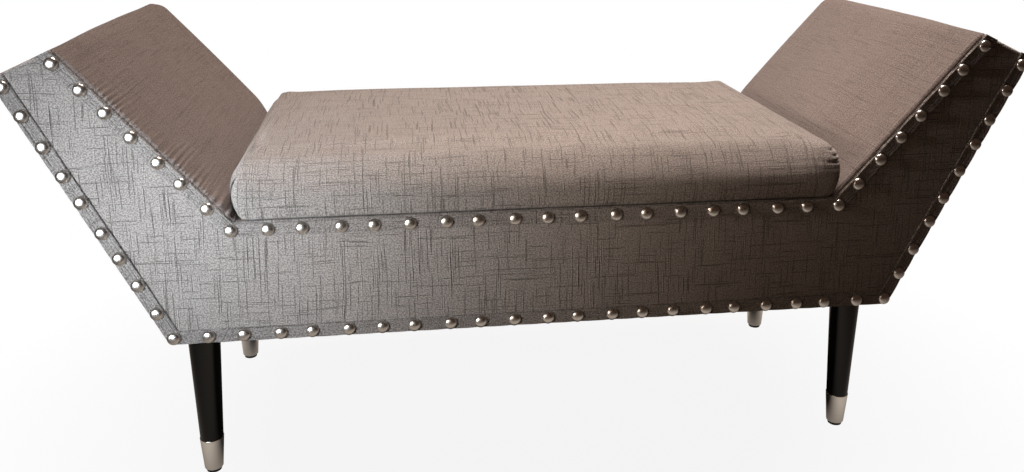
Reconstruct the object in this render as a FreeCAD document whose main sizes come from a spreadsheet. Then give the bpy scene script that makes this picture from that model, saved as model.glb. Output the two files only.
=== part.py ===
"""Winged bench: a nail-trimmed window seat with two sloping padded wings on four turned legs.

Frame: +X along the seat, front towards -Y, +Z up. The origin is on the floor, under the middle
of the bench's box. Everything is in millimetres.
"""
import FreeCAD, Part
import math
import os

import Sketcher
from FreeCAD import Rotation, Vector

DRIVING_SIZES = {
    # Outline of the front, measured over the fabric
    "seat_width": 736,
    "wing_flare": 247,
    "base_flare": 82,
    "body_depth": 430,
    "underside_height": 208,
    "rail_height": 148,
    "wing_tip_height": 531,
    "wing_tip_width": 66,
    "wing_tip_rise": 31,
    # Boards of the frame
    "side_board": 18,
    "thin_board": 12,
    "cleat_width": 22,
    "cleat_height": 30,
    "cross_rail_width": 28,
    "cross_rail_height": 60,
    "cross_rail_spacing": 250,
    "leg_block_height": 45,
    "leg_block_depth": 84,
    # Fabric and stuffing
    "cover": 2,
    "stuffing_ease": 0.8,
    "wing_foam": 16,
    "wing_crown": 16,
    "wing_cover_tuck": 3,
    "wing_foam_setback": 10,
    # Seat pad
    "seat_end_gap": 2,
    "seat_board_thickness": 15,
    "seat_board_inset": 6,
    "seat_edge_height": 73,
    "seat_crown": 9,
    "seat_front_swell": 2.5,
    "seat_roll": 26,
    "seat_corner": 12,
    "seat_rim": 18,
    # Trim strip and domed nails
    "band_width": 17.5,
    "band_thickness": 2.4,
    "nail_head_width": 16,
    "nail_head_height": 5,
    "nail_shank": 1.8,
    "nail_length": 20,
    "nail_tip_setback": 14,
    "nail_wander": 2,
    "drill_ease": 0.2,
    # Legs
    "leg_inset_side": 25,
    "leg_inset_front": 62,
    "leg_top_width": 42,
    "leg_waist_width": 29,
    "ferrule_top_height": 48,
    "ferrule_top_width": 30,
    "ferrule_foot_width": 23,
    "ferrule_wall": 1.2,
    "ferrule_base": 1.5,
    "glide_height": 4,
    "glide_width": 19,
    "glide_chamfer": 1,
    "glide_pin_width": 4,
    "glide_pin_length": 14,
    # Fixings
    "bolt_width": 8,
    "bolt_in_leg": 38,
    "fit_ease": 0.2,
    "tee_barrel_width": 10,
    "tee_barrel_length": 12,
    "tee_flange_width": 22,
    "tee_flange_thickness": 1.6,
    "screw_width": 4,
    "screw_head_width": 8,
    "screw_head_height": 2.5,
    "seat_screw_bite": 10,
    "seat_screw_spacing": 260,
    "frame_screw_bite": 25,
    "frame_screw_setback": 20,
}
RAIL_NAIL_COUNT = 19
BOTTOM_NAIL_COUNT = 23
INNER_NAIL_COUNT = 8
OUTER_NAIL_COUNT = 10

doc = FreeCAD.newDocument("winged_bench")
sheet = doc.addObject("Spreadsheet::Sheet", "sizes")
for row, (alias, size) in enumerate(DRIVING_SIZES.items(), start=1):
    sheet.set(f"A{row}", alias)
    sheet.set(f"B{row}", str(size))
    sheet.setAlias(f"B{row}", alias)
doc.recompute()

nodes = {}


def value(expression):
    """Number that an expression of sheet sizes comes to."""
    return float(sheet.evalExpression(expression))


def keep(name, obj):
    """Register an object as a sub-part under its own label."""
    obj.Label = name
    nodes[name] = obj
    return obj


# Places along the depth, as distances from the middle of the box towards the front or the back
TRIM_PROUD = "(sizes.band_thickness + sizes.nail_head_height)"
FRONT_FACE = f"((sizes.body_depth - {TRIM_PROUD}) / 2)"
BACK_FACE = f"((sizes.body_depth + {TRIM_PROUD}) / 2)"
FRONT_BOARD = f"({FRONT_FACE} - sizes.cover)"
BACK_BOARD = f"({BACK_FACE} - sizes.cover)"
FRONT_INSIDE = f"({FRONT_BOARD} - sizes.side_board)"
BACK_INSIDE = f"({BACK_BOARD} - sizes.side_board)"

# Heights
RAIL_TOP = "(sizes.underside_height + sizes.rail_height)"
SEAT_BOARD_FOOT = f"({RAIL_TOP} + sizes.cover)"

# Offsets from the fabric outline
COVER = "sizes.cover"
UNDER_THIN = "(sizes.cover + sizes.thin_board)"
UNDER_FOAM = "(sizes.cover + sizes.stuffing_ease + sizes.wing_foam)"
UNDER_WING_BOARD = f"({UNDER_FOAM} + sizes.thin_board)"
BAND = "sizes.band_width"

# Corners of the right half of the outline, counter-clockwise seen from the front
SEAT_SIDE = "(sizes.seat_width / 2)"
BASE_SIDE = f"({SEAT_SIDE} + sizes.base_flare)"
TIP_SIDE = f"({SEAT_SIDE} + sizes.wing_flare)"
CORNERS = {
    "seat_foot": (SEAT_SIDE, "sizes.underside_height"),
    "bottom_corner": (BASE_SIDE, "sizes.underside_height"),
    "outer_tip": (TIP_SIDE, "sizes.wing_tip_height"),
    "inner_tip": (
        f"{TIP_SIDE} - sizes.wing_tip_width",
        "sizes.wing_tip_height + sizes.wing_tip_rise",
    ),
    "seat_corner": (SEAT_SIDE, RAIL_TOP),
    "rail_middle": ("0", RAIL_TOP),
}
EDGES = {
    "bottom": ("seat_foot", "bottom_corner"),
    "outer": ("bottom_corner", "outer_tip"),
    "top": ("outer_tip", "inner_tip"),
    "inner": ("inner_tip", "seat_corner"),
    "end": ("seat_corner", "seat_foot"),
    "rail": ("seat_corner", "rail_middle"),
}


def corner_point(name):
    """Place of an outline corner, as (x, z)."""
    return tuple(value(expression) for expression in CORNERS[name])


def edge_line(edge):
    """An outline edge as (x, z, unit dx, unit dz), with the bench's inside on its left."""
    (x0, z0), (x1, z1) = (corner_point(name) for name in EDGES[edge])
    length = math.hypot(x1 - x0, z1 - z0)
    return x0, z0, (x1 - x0) / length, (z1 - z0) / length


def meet(first, second):
    """Point (x, z) at set distances inside two outline edges, each given as (edge, distance)."""
    x0, z0, dx0, dz0 = edge_line(first[0])
    x1, z1, dx1, dz1 = edge_line(second[0])
    x0, z0 = x0 - dz0 * value(first[1]), z0 + dx0 * value(first[1])
    x1, z1 = x1 - dz1 * value(second[1]), z1 + dx1 * value(second[1])
    along = ((x1 - x0) * dz1 - (z1 - z0) * dx1) / (dx0 * dz1 - dz0 * dx1)
    return x0 + along * dx0, z0 + along * dz0


def origin_plane(body, role):
    return next(feature for feature in body.Origin.OriginFeatures if feature.Role == role)


def new_sketch(body, role):
    sketch = body.newObject("Sketcher::SketchObject", body.Name + "_sketch")
    sketch.AttachmentSupport = [(origin_plane(body, role), "")]
    sketch.MapMode = "FlatFace"
    return sketch


def bind(sketch, constraint, expression):
    index = sketch.addConstraint(constraint)
    sketch.setExpression(f"Constraints[{index}]", expression)


def fix_point(sketch, line, end, place):
    """Tie one end of a line to a place given as two expressions."""
    for axis, expression, kind in ((-2, place[0], "DistanceX"), (-1, place[1], "DistanceY")):
        if expression == "0":
            sketch.addConstraint(Sketcher.Constraint("PointOnObject", line, end, axis))
        else:
            distance = Sketcher.Constraint(kind, -1, 1, line, end, value(expression))
            bind(sketch, distance, expression)


def closed_lines(sketch, points):
    """Closed run of lines through the points, with the first line's number as the result."""
    first = sketch.GeometryCount
    count = len(points)
    for index in range(count):
        start = Vector(*points[index], 0)
        stop = Vector(*points[(index + 1) % count], 0)
        sketch.addGeometry(Part.LineSegment(start, stop))
    for index in range(count):
        after = first + (index + 1) % count
        sketch.addConstraint(Sketcher.Constraint("Coincident", first + index, 2, after, 1))
    return first


def placed_polygon(sketch, places):
    """Polygon whose corners are given as pairs of expressions."""
    first = closed_lines(sketch, [(value(x), value(y)) for x, y in places])
    for index, place in enumerate(places):
        fix_point(sketch, first + index, 1, place)


def outline_polygon(sketch, spots, both_sides):
    """Polygon whose corners lie at set distances inside two outline edges each.

    With both_sides the polygon is closed by its own mirror image in the bench's middle plane.
    """
    guides = {}
    for edge in dict.fromkeys(edge for spot in spots for edge, _ in spot):
        ends = [Vector(*corner_point(name), 0) for name in EDGES[edge]]
        guides[edge] = sketch.addGeometry(Part.LineSegment(*ends), True)
        for end, name in enumerate(EDGES[edge], start=1):
            fix_point(sketch, guides[edge], end, CORNERS[name])
    points = [meet(*spot) for spot in spots]
    mirrored = [(-x, z) for x, z in reversed(points)] if both_sides else []
    first = closed_lines(sketch, points + mirrored)
    for index, spot in enumerate(spots):
        for edge, distance in spot:
            line = first + index
            if distance == "0":
                on_edge = Sketcher.Constraint("PointOnObject", line, 1, guides[edge])
                sketch.addConstraint(on_edge)
            else:
                inside = Sketcher.Constraint("Distance", line, 1, guides[edge], value(distance))
                bind(sketch, inside, distance)
    for index in range(len(mirrored)):
        twin = first + len(points) - 1 - index
        copy = first + len(points) + index
        sketch.addConstraint(Sketcher.Constraint("Symmetric", twin, 1, copy, 1, -2))


def outline_board(name, spots, front, thickness, both_sides=False):
    """Flat piece cut to the front outline, from its front face back by its thickness."""
    body = doc.addObject("PartDesign::Body", name)
    sketch = new_sketch(body, "XZ_Plane")
    outline_polygon(sketch, spots, both_sides)
    sketch.setExpression("AttachmentOffset.Base.z", f"{front} - ({thickness})")
    pad = body.newObject("PartDesign::Pad", name + "_pad")
    pad.Profile = sketch
    pad.setExpression("Length", thickness)
    return body


def mirror_left(source, name):
    """Left-hand twin of a right-hand piece."""
    twin = doc.addObject("Part::Mirroring", name)
    twin.Source = source
    twin.Normal = Vector(1, 0, 0)
    return twin


def drilled(name, base, drills):
    """Piece with holes where the given drills pass through it."""
    cut = doc.addObject("Part::Cut", name)
    cut.Base = base
    cut.Tool = drills
    return keep(name, cut)


def turned(name, profile):
    """Piece turned about its own upright axis from (radius, height) expressions."""
    body = doc.addObject("PartDesign::Body", name)
    sketch = new_sketch(body, "XZ_Plane")
    placed_polygon(sketch, profile)
    turn = body.newObject("PartDesign::Revolution", name + "_turn")
    turn.Profile = sketch
    turn.ReferenceAxis = (sketch, ["V_Axis"])
    return body


def box(name, sizes, corner):
    """Rectangular piece with its sizes and lowest corner given as expressions."""
    piece = doc.addObject("Part::Box", name)
    for side, expression in zip(("Length", "Width", "Height"), sizes):
        piece.setExpression(side, expression)
    for axis, expression in zip("xyz", corner):
        piece.setExpression(f"Placement.Base.{axis}", expression)
    return piece


def solid(name, shape):
    """Piece whose shape is worked out directly from the sheet's sizes."""
    piece = doc.addObject("Part::Feature", name)
    piece.Shape = shape
    return piece


# Domed nails: centres along the trim strips

def nail_row(start, stop, count, phase):
    """Nail centres from start to stop, set by hand and so a little uneven along the row."""
    (x0, z0), (x1, z1) = start, stop
    length = math.hypot(x1 - x0, z1 - z0)
    centres = []
    for index in range(count):
        inner_nail = 0 < index < count - 1
        wander = value("sizes.nail_wander") * math.sin(2.4 * index + phase) if inner_nail else 0
        share = index / (count - 1) + wander / length
        centres.append((x0 + share * (x1 - x0), z0 + share * (z1 - z0)))
    return centres


def flip(centres):
    return [(-x, z) for x, z in centres]


BAND_MIDDLE = "sizes.band_width / 2"
seat_nail = meet(("rail", BAND_MIDDLE), ("inner", BAND_MIDDLE))
base_nail = meet(("bottom", BAND_MIDDLE), ("outer", BAND_MIDDLE))
inner_tip_nail = meet(("inner", BAND_MIDDLE), ("top", "sizes.nail_tip_setback"))
outer_tip_nail = meet(("outer", BAND_MIDDLE), ("top", "sizes.nail_tip_setback"))
left_seat_nail, left_base_nail = flip([seat_nail, base_nail])

# The corner nails belong to the level rows, so the sloping rows start one nail further on
nail_centres = {
    "seat_rail_nails": nail_row(left_seat_nail, seat_nail, RAIL_NAIL_COUNT, 0.4),
    "bottom_nails": nail_row(left_base_nail, base_nail, BOTTOM_NAIL_COUNT, 1.1),
    "right_inner_nails": nail_row(seat_nail, inner_tip_nail, INNER_NAIL_COUNT, 2.0)[1:],
    "right_outer_nails": nail_row(base_nail, outer_tip_nail, OUTER_NAIL_COUNT, 0.7)[1:],
    "left_inner_nails": flip(nail_row(seat_nail, inner_tip_nail, INNER_NAIL_COUNT, 3.3)[1:]),
    "left_outer_nails": flip(nail_row(base_nail, outer_tip_nail, OUTER_NAIL_COUNT, 1.8)[1:]),
}
TOWARDS_BACK = Vector(0, 1, 0)


def nail_shape():
    """One nail at the origin: a domed head in front of Y = 0 and its shank behind."""
    head, dome = value("sizes.nail_head_width / 2"), value("sizes.nail_head_height")
    shank, length = value("sizes.nail_shank / 2"), value("sizes.nail_length")
    ball = (head * head + dome * dome) / (2 * dome)
    bend = math.asin(head / ball) / 2
    crest = Vector(0, -dome, 0)
    shoulder = Vector(ball * math.sin(bend), ball - dome - ball * math.cos(bend), 0)
    dome_edge = Part.Arc(crest, shoulder, Vector(head, 0, 0)).toShape()
    corners = [
        Vector(head, 0, 0),
        Vector(shank, 0, 0),
        Vector(shank, length, 0),
        Vector(0, length, 0),
        crest,
    ]
    flat_edges = [Part.makeLine(*pair) for pair in zip(corners, corners[1:])]
    profile = Part.Face(Part.Wire([dome_edge, *flat_edges]))
    return profile.revolve(Vector(0, 0, 0), TOWARDS_BACK, 360)


def at_centres(shape, centres, y):
    copies = []
    for x, z in centres:
        copy = shape.copy()
        copy.translate(Vector(x, y, z))
        copies.append(copy)
    return Part.makeCompound(copies)


nail_seat = -value(f"{FRONT_FACE} + sizes.band_thickness")
for name, centres in nail_centres.items():
    keep(name, solid(name, at_centres(nail_shape(), centres, nail_seat)))
nail_drill = Part.makeCylinder(
    value("(sizes.nail_shank + sizes.drill_ease) / 2"),
    value("sizes.nail_length + sizes.drill_ease"),
    Vector(0, 0, 0),
    TOWARDS_BACK,
)
every_nail = [centre for centres in nail_centres.values() for centre in centres]
nail_drills = solid("nail_drills", at_centres(nail_drill, every_nail, nail_seat))


# Side plates and rails, front and back

PLATE = [
    (("end", COVER), ("bottom", COVER)),
    (("bottom", COVER), ("outer", COVER)),
    (("outer", COVER), ("top", COVER)),
    (("top", COVER), ("inner", COVER)),
    (("inner", COVER), ("end", COVER)),
]
RAIL = [
    (("end", COVER), ("bottom", COVER)),
    (("end", COVER), ("rail", "0")),
]
FACES = {"front": FRONT_BOARD, "back": f"(sizes.side_board - {BACK_BOARD})"}

for face, front in FACES.items():
    plate = outline_board(f"{face}_plate", PLATE, front, "sizes.side_board")
    rail = outline_board(f"{face}_rail", RAIL, front, "sizes.side_board", both_sides=True)
    blanks = {
        f"right_{face}_wing_plate": plate,
        f"left_{face}_wing_plate": mirror_left(plate, f"left_{face}_plate"),
        f"{face}_rail_board": rail,
    }
    for name, blank in blanks.items():
        if face == "front":
            drilled(name, blank, nail_drills)
        else:
            keep(name, blank)


# Screws and bolts: their places, and the drills that make room for them

def screw_shape(shank_length, ease):
    """Pan-head screw at the origin, its head below Z = 0 and its shank above."""
    head = Part.makeCylinder(
        value("sizes.screw_head_width / 2") + ease,
        value("sizes.screw_head_height"),
        Vector(0, 0, -value("sizes.screw_head_height")),
    )
    shank = Part.makeCylinder(value("sizes.screw_width / 2") + ease, shank_length)
    return head.fuse(shank).removeSplitter()


def placed_copies(shape, places):
    """Copies of a shape, each at a (base, rotation) pair."""
    copies = []
    for base, rotation in places:
        copy = shape.copy()
        copy.Placement = FreeCAD.Placement(base, rotation)
        copies.append(copy)
    return Part.makeCompound(copies)


UPRIGHT = Rotation()
drill_ease = value("sizes.drill_ease / 2")
LEG_X = f"({BASE_SIDE} - sizes.leg_inset_side)"
LEG_PLACES = {
    "front_left": (f"-{LEG_X}", f"sizes.leg_inset_front - {FRONT_FACE}"),
    "front_right": (LEG_X, f"sizes.leg_inset_front - {FRONT_FACE}"),
    "back_left": (f"-{LEG_X}", f"{BACK_FACE} - sizes.leg_inset_front"),
    "back_right": (LEG_X, f"{BACK_FACE} - sizes.leg_inset_front"),
}
leg_spots = [(value(x), value(y)) for x, y in LEG_PLACES.values()]

seat_screw_length = value("sizes.cleat_height + sizes.seat_screw_bite")
seat_screw_foot = value(f"{SEAT_BOARD_FOOT} - sizes.cleat_height")
seat_screw_rows = (
    value(f"sizes.cleat_width / 2 - {FRONT_INSIDE}"),
    value(f"{BACK_INSIDE} - sizes.cleat_width / 2"),
)
seat_screw_spots = []
for y in seat_screw_rows:
    for step in (-1, 0, 1):
        place = Vector(step * value("sizes.seat_screw_spacing"), y, seat_screw_foot)
        seat_screw_spots.append((place, UPRIGHT))
keep(
    "seat_screws",
    solid("seat_screws", placed_copies(screw_shape(seat_screw_length, 0), seat_screw_spots)),
)
seat_screw_drills = solid(
    "seat_screw_drills",
    placed_copies(screw_shape(seat_screw_length + drill_ease, drill_ease), seat_screw_spots),
)

frame_screw_length = value("sizes.thin_board + sizes.frame_screw_bite")
frame_screw_x = value("sizes.seat_width / 2 + sizes.cover")
frame_screw_z = value("sizes.underside_height + sizes.cover + sizes.leg_block_height / 2")
block_reach = value("sizes.leg_block_depth - sizes.frame_screw_setback")
block_ends = (
    -value(FRONT_INSIDE) + value("sizes.frame_screw_setback"),
    -value(FRONT_INSIDE) + block_reach,
    value(BACK_INSIDE) - value("sizes.frame_screw_setback"),
    value(BACK_INSIDE) - block_reach,
)
frame_screw_spots = []
for side in (-1, 1):
    outward = Rotation(Vector(0, 0, 1), Vector(side, 0, 0))
    for y in block_ends:
        frame_screw_spots.append((Vector(side * frame_screw_x, y, frame_screw_z), outward))
keep(
    "frame_screws",
    solid("frame_screws", placed_copies(screw_shape(frame_screw_length, 0), frame_screw_spots)),
)
frame_screw_drills = solid(
    "frame_screw_drills",
    placed_copies(screw_shape(frame_screw_length + drill_ease, drill_ease), frame_screw_spots),
)

block_top = value("sizes.underside_height + sizes.cover + sizes.leg_block_height")
bolt_foot = value("sizes.underside_height - sizes.bolt_in_leg")
bolt_length = block_top + value("sizes.tee_flange_thickness") - bolt_foot
fit_ease = value("sizes.fit_ease / 2")
bolt_radius = value("sizes.bolt_width / 2")
barrel_radius = value("sizes.tee_barrel_width / 2")


def at_legs(shape, z):
    return placed_copies(shape, [(Vector(x, y, z), UPRIGHT) for x, y in leg_spots])


bolt = Part.makeCylinder(bolt_radius, bolt_length)
keep("hanger_bolts", solid("hanger_bolts", at_legs(bolt, bolt_foot)))
tee_flange = Part.makeCylinder(
    value("sizes.tee_flange_width / 2"), value("sizes.tee_flange_thickness")
)
tee_barrel = Part.makeCylinder(
    barrel_radius,
    value("sizes.tee_barrel_length"),
    Vector(0, 0, -value("sizes.tee_barrel_length")),
)
bolt_drill = Part.makeCylinder(
    bolt_radius + fit_ease, 2 * bolt_length, Vector(0, 0, -bolt_length)
)
tee_nut = tee_flange.fuse(tee_barrel).removeSplitter().cut(bolt_drill)
keep("tee_nuts", solid("tee_nuts", at_legs(tee_nut, block_top)))
block_bore = Part.makeCylinder(
    barrel_radius + fit_ease, value("2 * sizes.leg_block_height"), Vector(0, 0, 0)
)
block_bores = at_legs(block_bore, value("sizes.underside_height"))


# Wing boxes between the plates

INSIDE_DEPTH = f"({FRONT_INSIDE} + {BACK_INSIDE})"
WING_BOARD = [
    (("inner", UNDER_FOAM), ("end", COVER)),
    (("inner", UNDER_WING_BOARD), ("end", COVER)),
    (("inner", UNDER_WING_BOARD), ("top", UNDER_THIN)),
    (("inner", UNDER_FOAM), ("top", UNDER_THIN)),
]
TOP_RAIL = [
    (("top", COVER), ("outer", COVER)),
    (("top", COVER), ("inner", UNDER_FOAM)),
    (("top", UNDER_THIN), ("inner", UNDER_FOAM)),
    (("top", UNDER_THIN), ("outer", COVER)),
]
END_BOARD = [
    (("outer", COVER), ("bottom", COVER)),
    (("outer", COVER), ("top", UNDER_THIN)),
    (("outer", UNDER_THIN), ("top", UNDER_THIN)),
    (("outer", UNDER_THIN), ("bottom", COVER)),
]
SEAT_END_RAIL = [
    (("end", COVER), ("bottom", COVER)),
    (("end", UNDER_THIN), ("bottom", COVER)),
    (("end", UNDER_THIN), ("inner", UNDER_WING_BOARD)),
    (("end", COVER), ("inner", UNDER_WING_BOARD)),
]
WING_BOARDS = {"wing_board": WING_BOARD, "wing_top_rail": TOP_RAIL, "end_board": END_BOARD}
for name, spots in WING_BOARDS.items():
    board = outline_board(name, spots, FRONT_INSIDE, INSIDE_DEPTH)
    keep(f"right_{name}", board)
    keep(f"left_{name}", mirror_left(board, f"left_{name}"))

end_rail = outline_board("seat_end_rail", SEAT_END_RAIL, FRONT_INSIDE, INSIDE_DEPTH)
drilled("right_seat_end_rail", end_rail, frame_screw_drills)
drilled("left_seat_end_rail", mirror_left(end_rail, "left_end_rail"), frame_screw_drills)

BLOCK_TOP = "(sizes.cover + sizes.leg_block_height)"
LEG_BLOCK = [
    (("end", UNDER_THIN), ("bottom", COVER)),
    (("outer", UNDER_THIN), ("bottom", COVER)),
    (("outer", UNDER_THIN), ("bottom", BLOCK_TOP)),
    (("end", UNDER_THIN), ("bottom", BLOCK_TOP)),
]
block_drills = solid("leg_block_drills", Part.makeCompound([block_bores, frame_screw_drills.Shape]))
for face, front in (("front", FRONT_INSIDE), ("back", f"(sizes.leg_block_depth - {BACK_INSIDE})")):
    block = outline_board(f"{face}_block", LEG_BLOCK, front, "sizes.leg_block_depth")
    drilled(f"{face}_right_leg_block", block, block_drills)
    drilled(f"{face}_left_leg_block", mirror_left(block, f"{face}_left_block"), block_drills)


# Seat supports: a cleat inside each long rail and two cross rails

SEAT_HALF = "(sizes.seat_width / 2 - sizes.seat_end_gap)"
INSIDE_RIM = f"({SEAT_HALF} - sizes.seat_rim)"
cleat_sizes = (f"2 * {INSIDE_RIM}", "sizes.cleat_width", "sizes.cleat_height")
cleat_x = f"-{INSIDE_RIM}"
cleat_z = f"{SEAT_BOARD_FOOT} - sizes.cleat_height"
CLEAT_ROWS = {"front": f"-{FRONT_INSIDE}", "back": f"{BACK_INSIDE} - sizes.cleat_width"}
cleats = doc.addObject("Part::Compound", "cleats")
cleats.Links = [
    box(f"{face}_cleat", cleat_sizes, (cleat_x, y, cleat_z)) for face, y in CLEAT_ROWS.items()
]
drilled("seat_cleats", cleats, seat_screw_drills)

cross_rails = doc.addObject("Part::Compound", "cross_rails")
cross_length = f"{INSIDE_DEPTH} - 2 * sizes.cleat_width"
cross_sizes = ("sizes.cross_rail_width", cross_length, "sizes.cross_rail_height")
cross_rails.Links = [
    box(
        f"cross_rail_{side}",
        cross_sizes,
        (
            f"{sign} * sizes.cross_rail_spacing / 2 - sizes.cross_rail_width / 2",
            f"sizes.cleat_width - {FRONT_INSIDE}",
            f"{SEAT_BOARD_FOOT} - sizes.cross_rail_height",
        ),
    )
    for side, sign in (("left", -1), ("right", 1))
]
keep("seat_cross_rails", cross_rails)


# Seat pad: board, foam with a crowned top, and the cover drawn over both

BOARD_INSET = "sizes.seat_board_inset"
seat_board = box(
    "seat_board_blank",
    (
        f"2 * {SEAT_HALF} - 2 * {BOARD_INSET}",
        f"sizes.body_depth - 2 * {BOARD_INSET}",
        "sizes.seat_board_thickness",
    ),
    (f"{BOARD_INSET} - {SEAT_HALF}", f"{BOARD_INSET} - {FRONT_FACE}", SEAT_BOARD_FOOT),
)
drilled("seat_board", seat_board, seat_screw_drills)


def rounding(radius, distance):
    """How far a rounded edge falls away at a distance in from its end."""
    short = max(radius - distance, 0)
    return radius - math.sqrt(radius * radius - short * short)


def pad_section(x, from_end, inset, foot):
    """Closed cross-section of the seat pad at x: flat foot, swelling front and crowned top."""
    half = value(SEAT_HALF) - inset
    drop = rounding(value("sizes.seat_roll") - inset, from_end)
    draw_in = inset + rounding(value("sizes.seat_corner") - inset, from_end)
    front = -value(FRONT_FACE) + draw_in
    back = value(BACK_FACE) - draw_in
    edge = value(f"{RAIL_TOP} + sizes.seat_edge_height") - inset - drop
    roll = value("sizes.seat_roll") - inset
    crown = value("sizes.seat_crown") * (1 - 0.9 * (x / half) ** 2)
    swell = value("sizes.seat_front_swell")
    middle = (front + back) / 2
    waist = (foot + edge - roll) / 2
    bend = roll * (1 - math.sqrt(0.5))

    def spot(y, z):
        return Vector(x, y, z)

    front_foot, back_foot = spot(front, foot), spot(back, foot)
    front_waist, back_waist = spot(front, edge - roll), spot(back, edge - roll)
    front_lip, back_lip = spot(front + roll, edge), spot(back - roll, edge)
    arcs = [
        (front_foot, spot(front - swell, waist), front_waist),
        (front_waist, spot(front + bend, edge - bend), front_lip),
        (front_lip, spot(middle, edge + crown), back_lip),
        (back_lip, spot(back - bend, edge - bend), back_waist),
    ]
    lines = [(back_waist, back_foot), (back_foot, front_foot)]
    edges = [Part.Arc(*arc).toShape() for arc in arcs]
    return Part.Wire(edges + [Part.makeLine(*line) for line in lines])


def pad_loft(inset, foot):
    """Solid of the seat pad, drawn in all round by an inset."""
    half = value(SEAT_HALF) - inset
    roll = value("sizes.seat_roll") - inset
    end_steps = [share * roll for share in (0, 0.12, 0.4, 1)]
    from_left = [*end_steps, half / 2]
    stations = [(step - half, step) for step in from_left]
    stations += [(0, half)] + [(half - step, step) for step in reversed(from_left)]
    sections = [pad_section(x, step, inset, foot) for x, step in stations]
    return Part.makeLoft(sections, True, True)


cover_inset = value(COVER)
foam_inset = value("sizes.cover + sizes.stuffing_ease")
board_space = Part.makeBox(
    value("sizes.seat_width"),
    2 * value("sizes.body_depth"),
    value("sizes.seat_board_thickness"),
    Vector(-value("sizes.seat_width / 2"), -value("sizes.body_depth"), value(SEAT_BOARD_FOOT)),
)
seat_foam = pad_loft(foam_inset, value(SEAT_BOARD_FOOT)).cut(board_space)
keep("seat_foam", solid("seat_foam", seat_foam))
rim = value("sizes.seat_rim")
opening = Part.makeBox(
    2 * value(INSIDE_RIM),
    value("sizes.body_depth") - 2 * rim,
    2 * cover_inset,
    Vector(-value(INSIDE_RIM), rim - value(FRONT_FACE), value(RAIL_TOP) - cover_inset),
)
inside = pad_loft(cover_inset, value(SEAT_BOARD_FOOT))
seat_cover = pad_loft(0, value(RAIL_TOP)).cut(inside).cut(opening)
keep("seat_cover", solid("seat_cover", seat_cover))


# Wing pads: foam on the sloping boards, with a crowned cover over it and the plates' edges


def corner_vector(name):
    x, z = corner_point(name)
    return Vector(x, 0, z)


wing_foot = corner_vector("seat_corner")
wing_head = corner_vector("inner_tip")
wing_slope = (wing_head - wing_foot).normalize()
wing_out = Vector(-wing_slope.z, 0, wing_slope.x)
wing_length = (wing_head - wing_foot).Length


def wing_section(y, start, stop, low, high, low_bow, high_bow):
    """Closed section across a wing pad at a depth y, between two bowed lines."""

    def spot(along, proud):
        return wing_foot + wing_slope * along + wing_out * proud + Vector(0, y, 0)

    middle = (start + stop) / 2
    low_start, low_stop = spot(start, low), spot(stop, low)
    high_start, high_stop = spot(start, high), spot(stop, high)
    if low_bow:
        under = Part.Arc(low_stop, spot(middle, low + low_bow), low_start).toShape()
    else:
        under = Part.makeLine(low_stop, low_start)
    over = Part.Arc(high_start, spot(middle, high + high_bow), high_stop).toShape()
    sides = [Part.makeLine(high_stop, low_stop), Part.makeLine(low_start, high_start)]
    return Part.Wire([over, sides[0], under, sides[1]])


def wing_bow(y):
    """Height of the crown at a depth y: almost flat at the two ends, full in the middle."""
    front, back = -value(FRONT_BOARD), value(BACK_BOARD)
    share = 2 * (y - front) / (back - front) - 1
    return value("sizes.wing_crown") * (1 - 0.96 * share**4)


def wing_loft(front, back, start, stop, low, high, bowed_under):
    """Solid of a wing pad between two depths, as one piece of crowned stuffing or cloth."""
    sections = []
    for share in (0, 0.06, 0.16, 0.32, 0.5, 0.68, 0.84, 0.94, 1):
        y = front + share * (back - front)
        under = wing_bow(y) if bowed_under else 0
        sections.append(wing_section(y, start, stop, low, high, under, wing_bow(y)))
    return Part.makeLoft(sections, True, True)


tuck = value("sizes.wing_cover_tuck")
setback = value("sizes.wing_foam_setback")
foam_shape = wing_loft(
    -value(FRONT_INSIDE),
    value(BACK_INSIDE),
    setback,
    wing_length - setback,
    -value(UNDER_FOAM),
    -foam_inset,
    bowed_under=False,
)
cover_shape = wing_loft(
    -value(FRONT_BOARD),
    value(BACK_BOARD),
    tuck,
    wing_length - tuck,
    -cover_inset,
    0,
    bowed_under=True,
)
for name, shape in (("wing_foam", foam_shape), ("wing_cover", cover_shape)):
    piece = keep(f"right_{name}", solid(f"right_{name}", shape))
    keep(f"left_{name}", mirror_left(piece, f"left_{name}"))


# Plain covers: front and back, the two ends over the wing tops, and the cloth underneath

FACE_COVER = [
    (("bottom", "0"), ("outer", "0")),
    (("outer", "0"), ("top", "0")),
    (("top", "0"), ("inner", "0")),
    (("inner", "0"), ("rail", "0")),
]
END_COVER = [
    (("outer", "0"), ("bottom", "0")),
    (("outer", "0"), ("top", "0")),
    (("top", "0"), ("inner", "0")),
    (("top", COVER), ("inner", "0")),
    (("outer", COVER), ("top", COVER)),
    (("outer", COVER), ("bottom", "0")),
]
DUST_COVER = [
    (("bottom", "0"), ("outer", COVER)),
    (("bottom", COVER), ("outer", COVER)),
]
BETWEEN_COVERS = f"({FRONT_BOARD} + {BACK_BOARD})"

front_sheet = outline_board("front_sheet", FACE_COVER, FRONT_FACE, COVER, both_sides=True)
drilled("front_cover", front_sheet, nail_drills)
back_sheet = outline_board("back_sheet", FACE_COVER, f"-{BACK_BOARD}", COVER, both_sides=True)
keep("back_cover", back_sheet)
end_cover = outline_board("end_cover", END_COVER, FRONT_BOARD, BETWEEN_COVERS)
keep("right_end_cover", end_cover)
keep("left_end_cover", mirror_left(end_cover, "left_end_cover"))
dust_sheet = outline_board("dust_sheet", DUST_COVER, FRONT_BOARD, BETWEEN_COVERS, both_sides=True)
dust_drills = solid("dust_drills", at_legs(bolt_drill, value("sizes.underside_height")))
drilled("dust_cover", dust_sheet, dust_drills)


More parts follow.
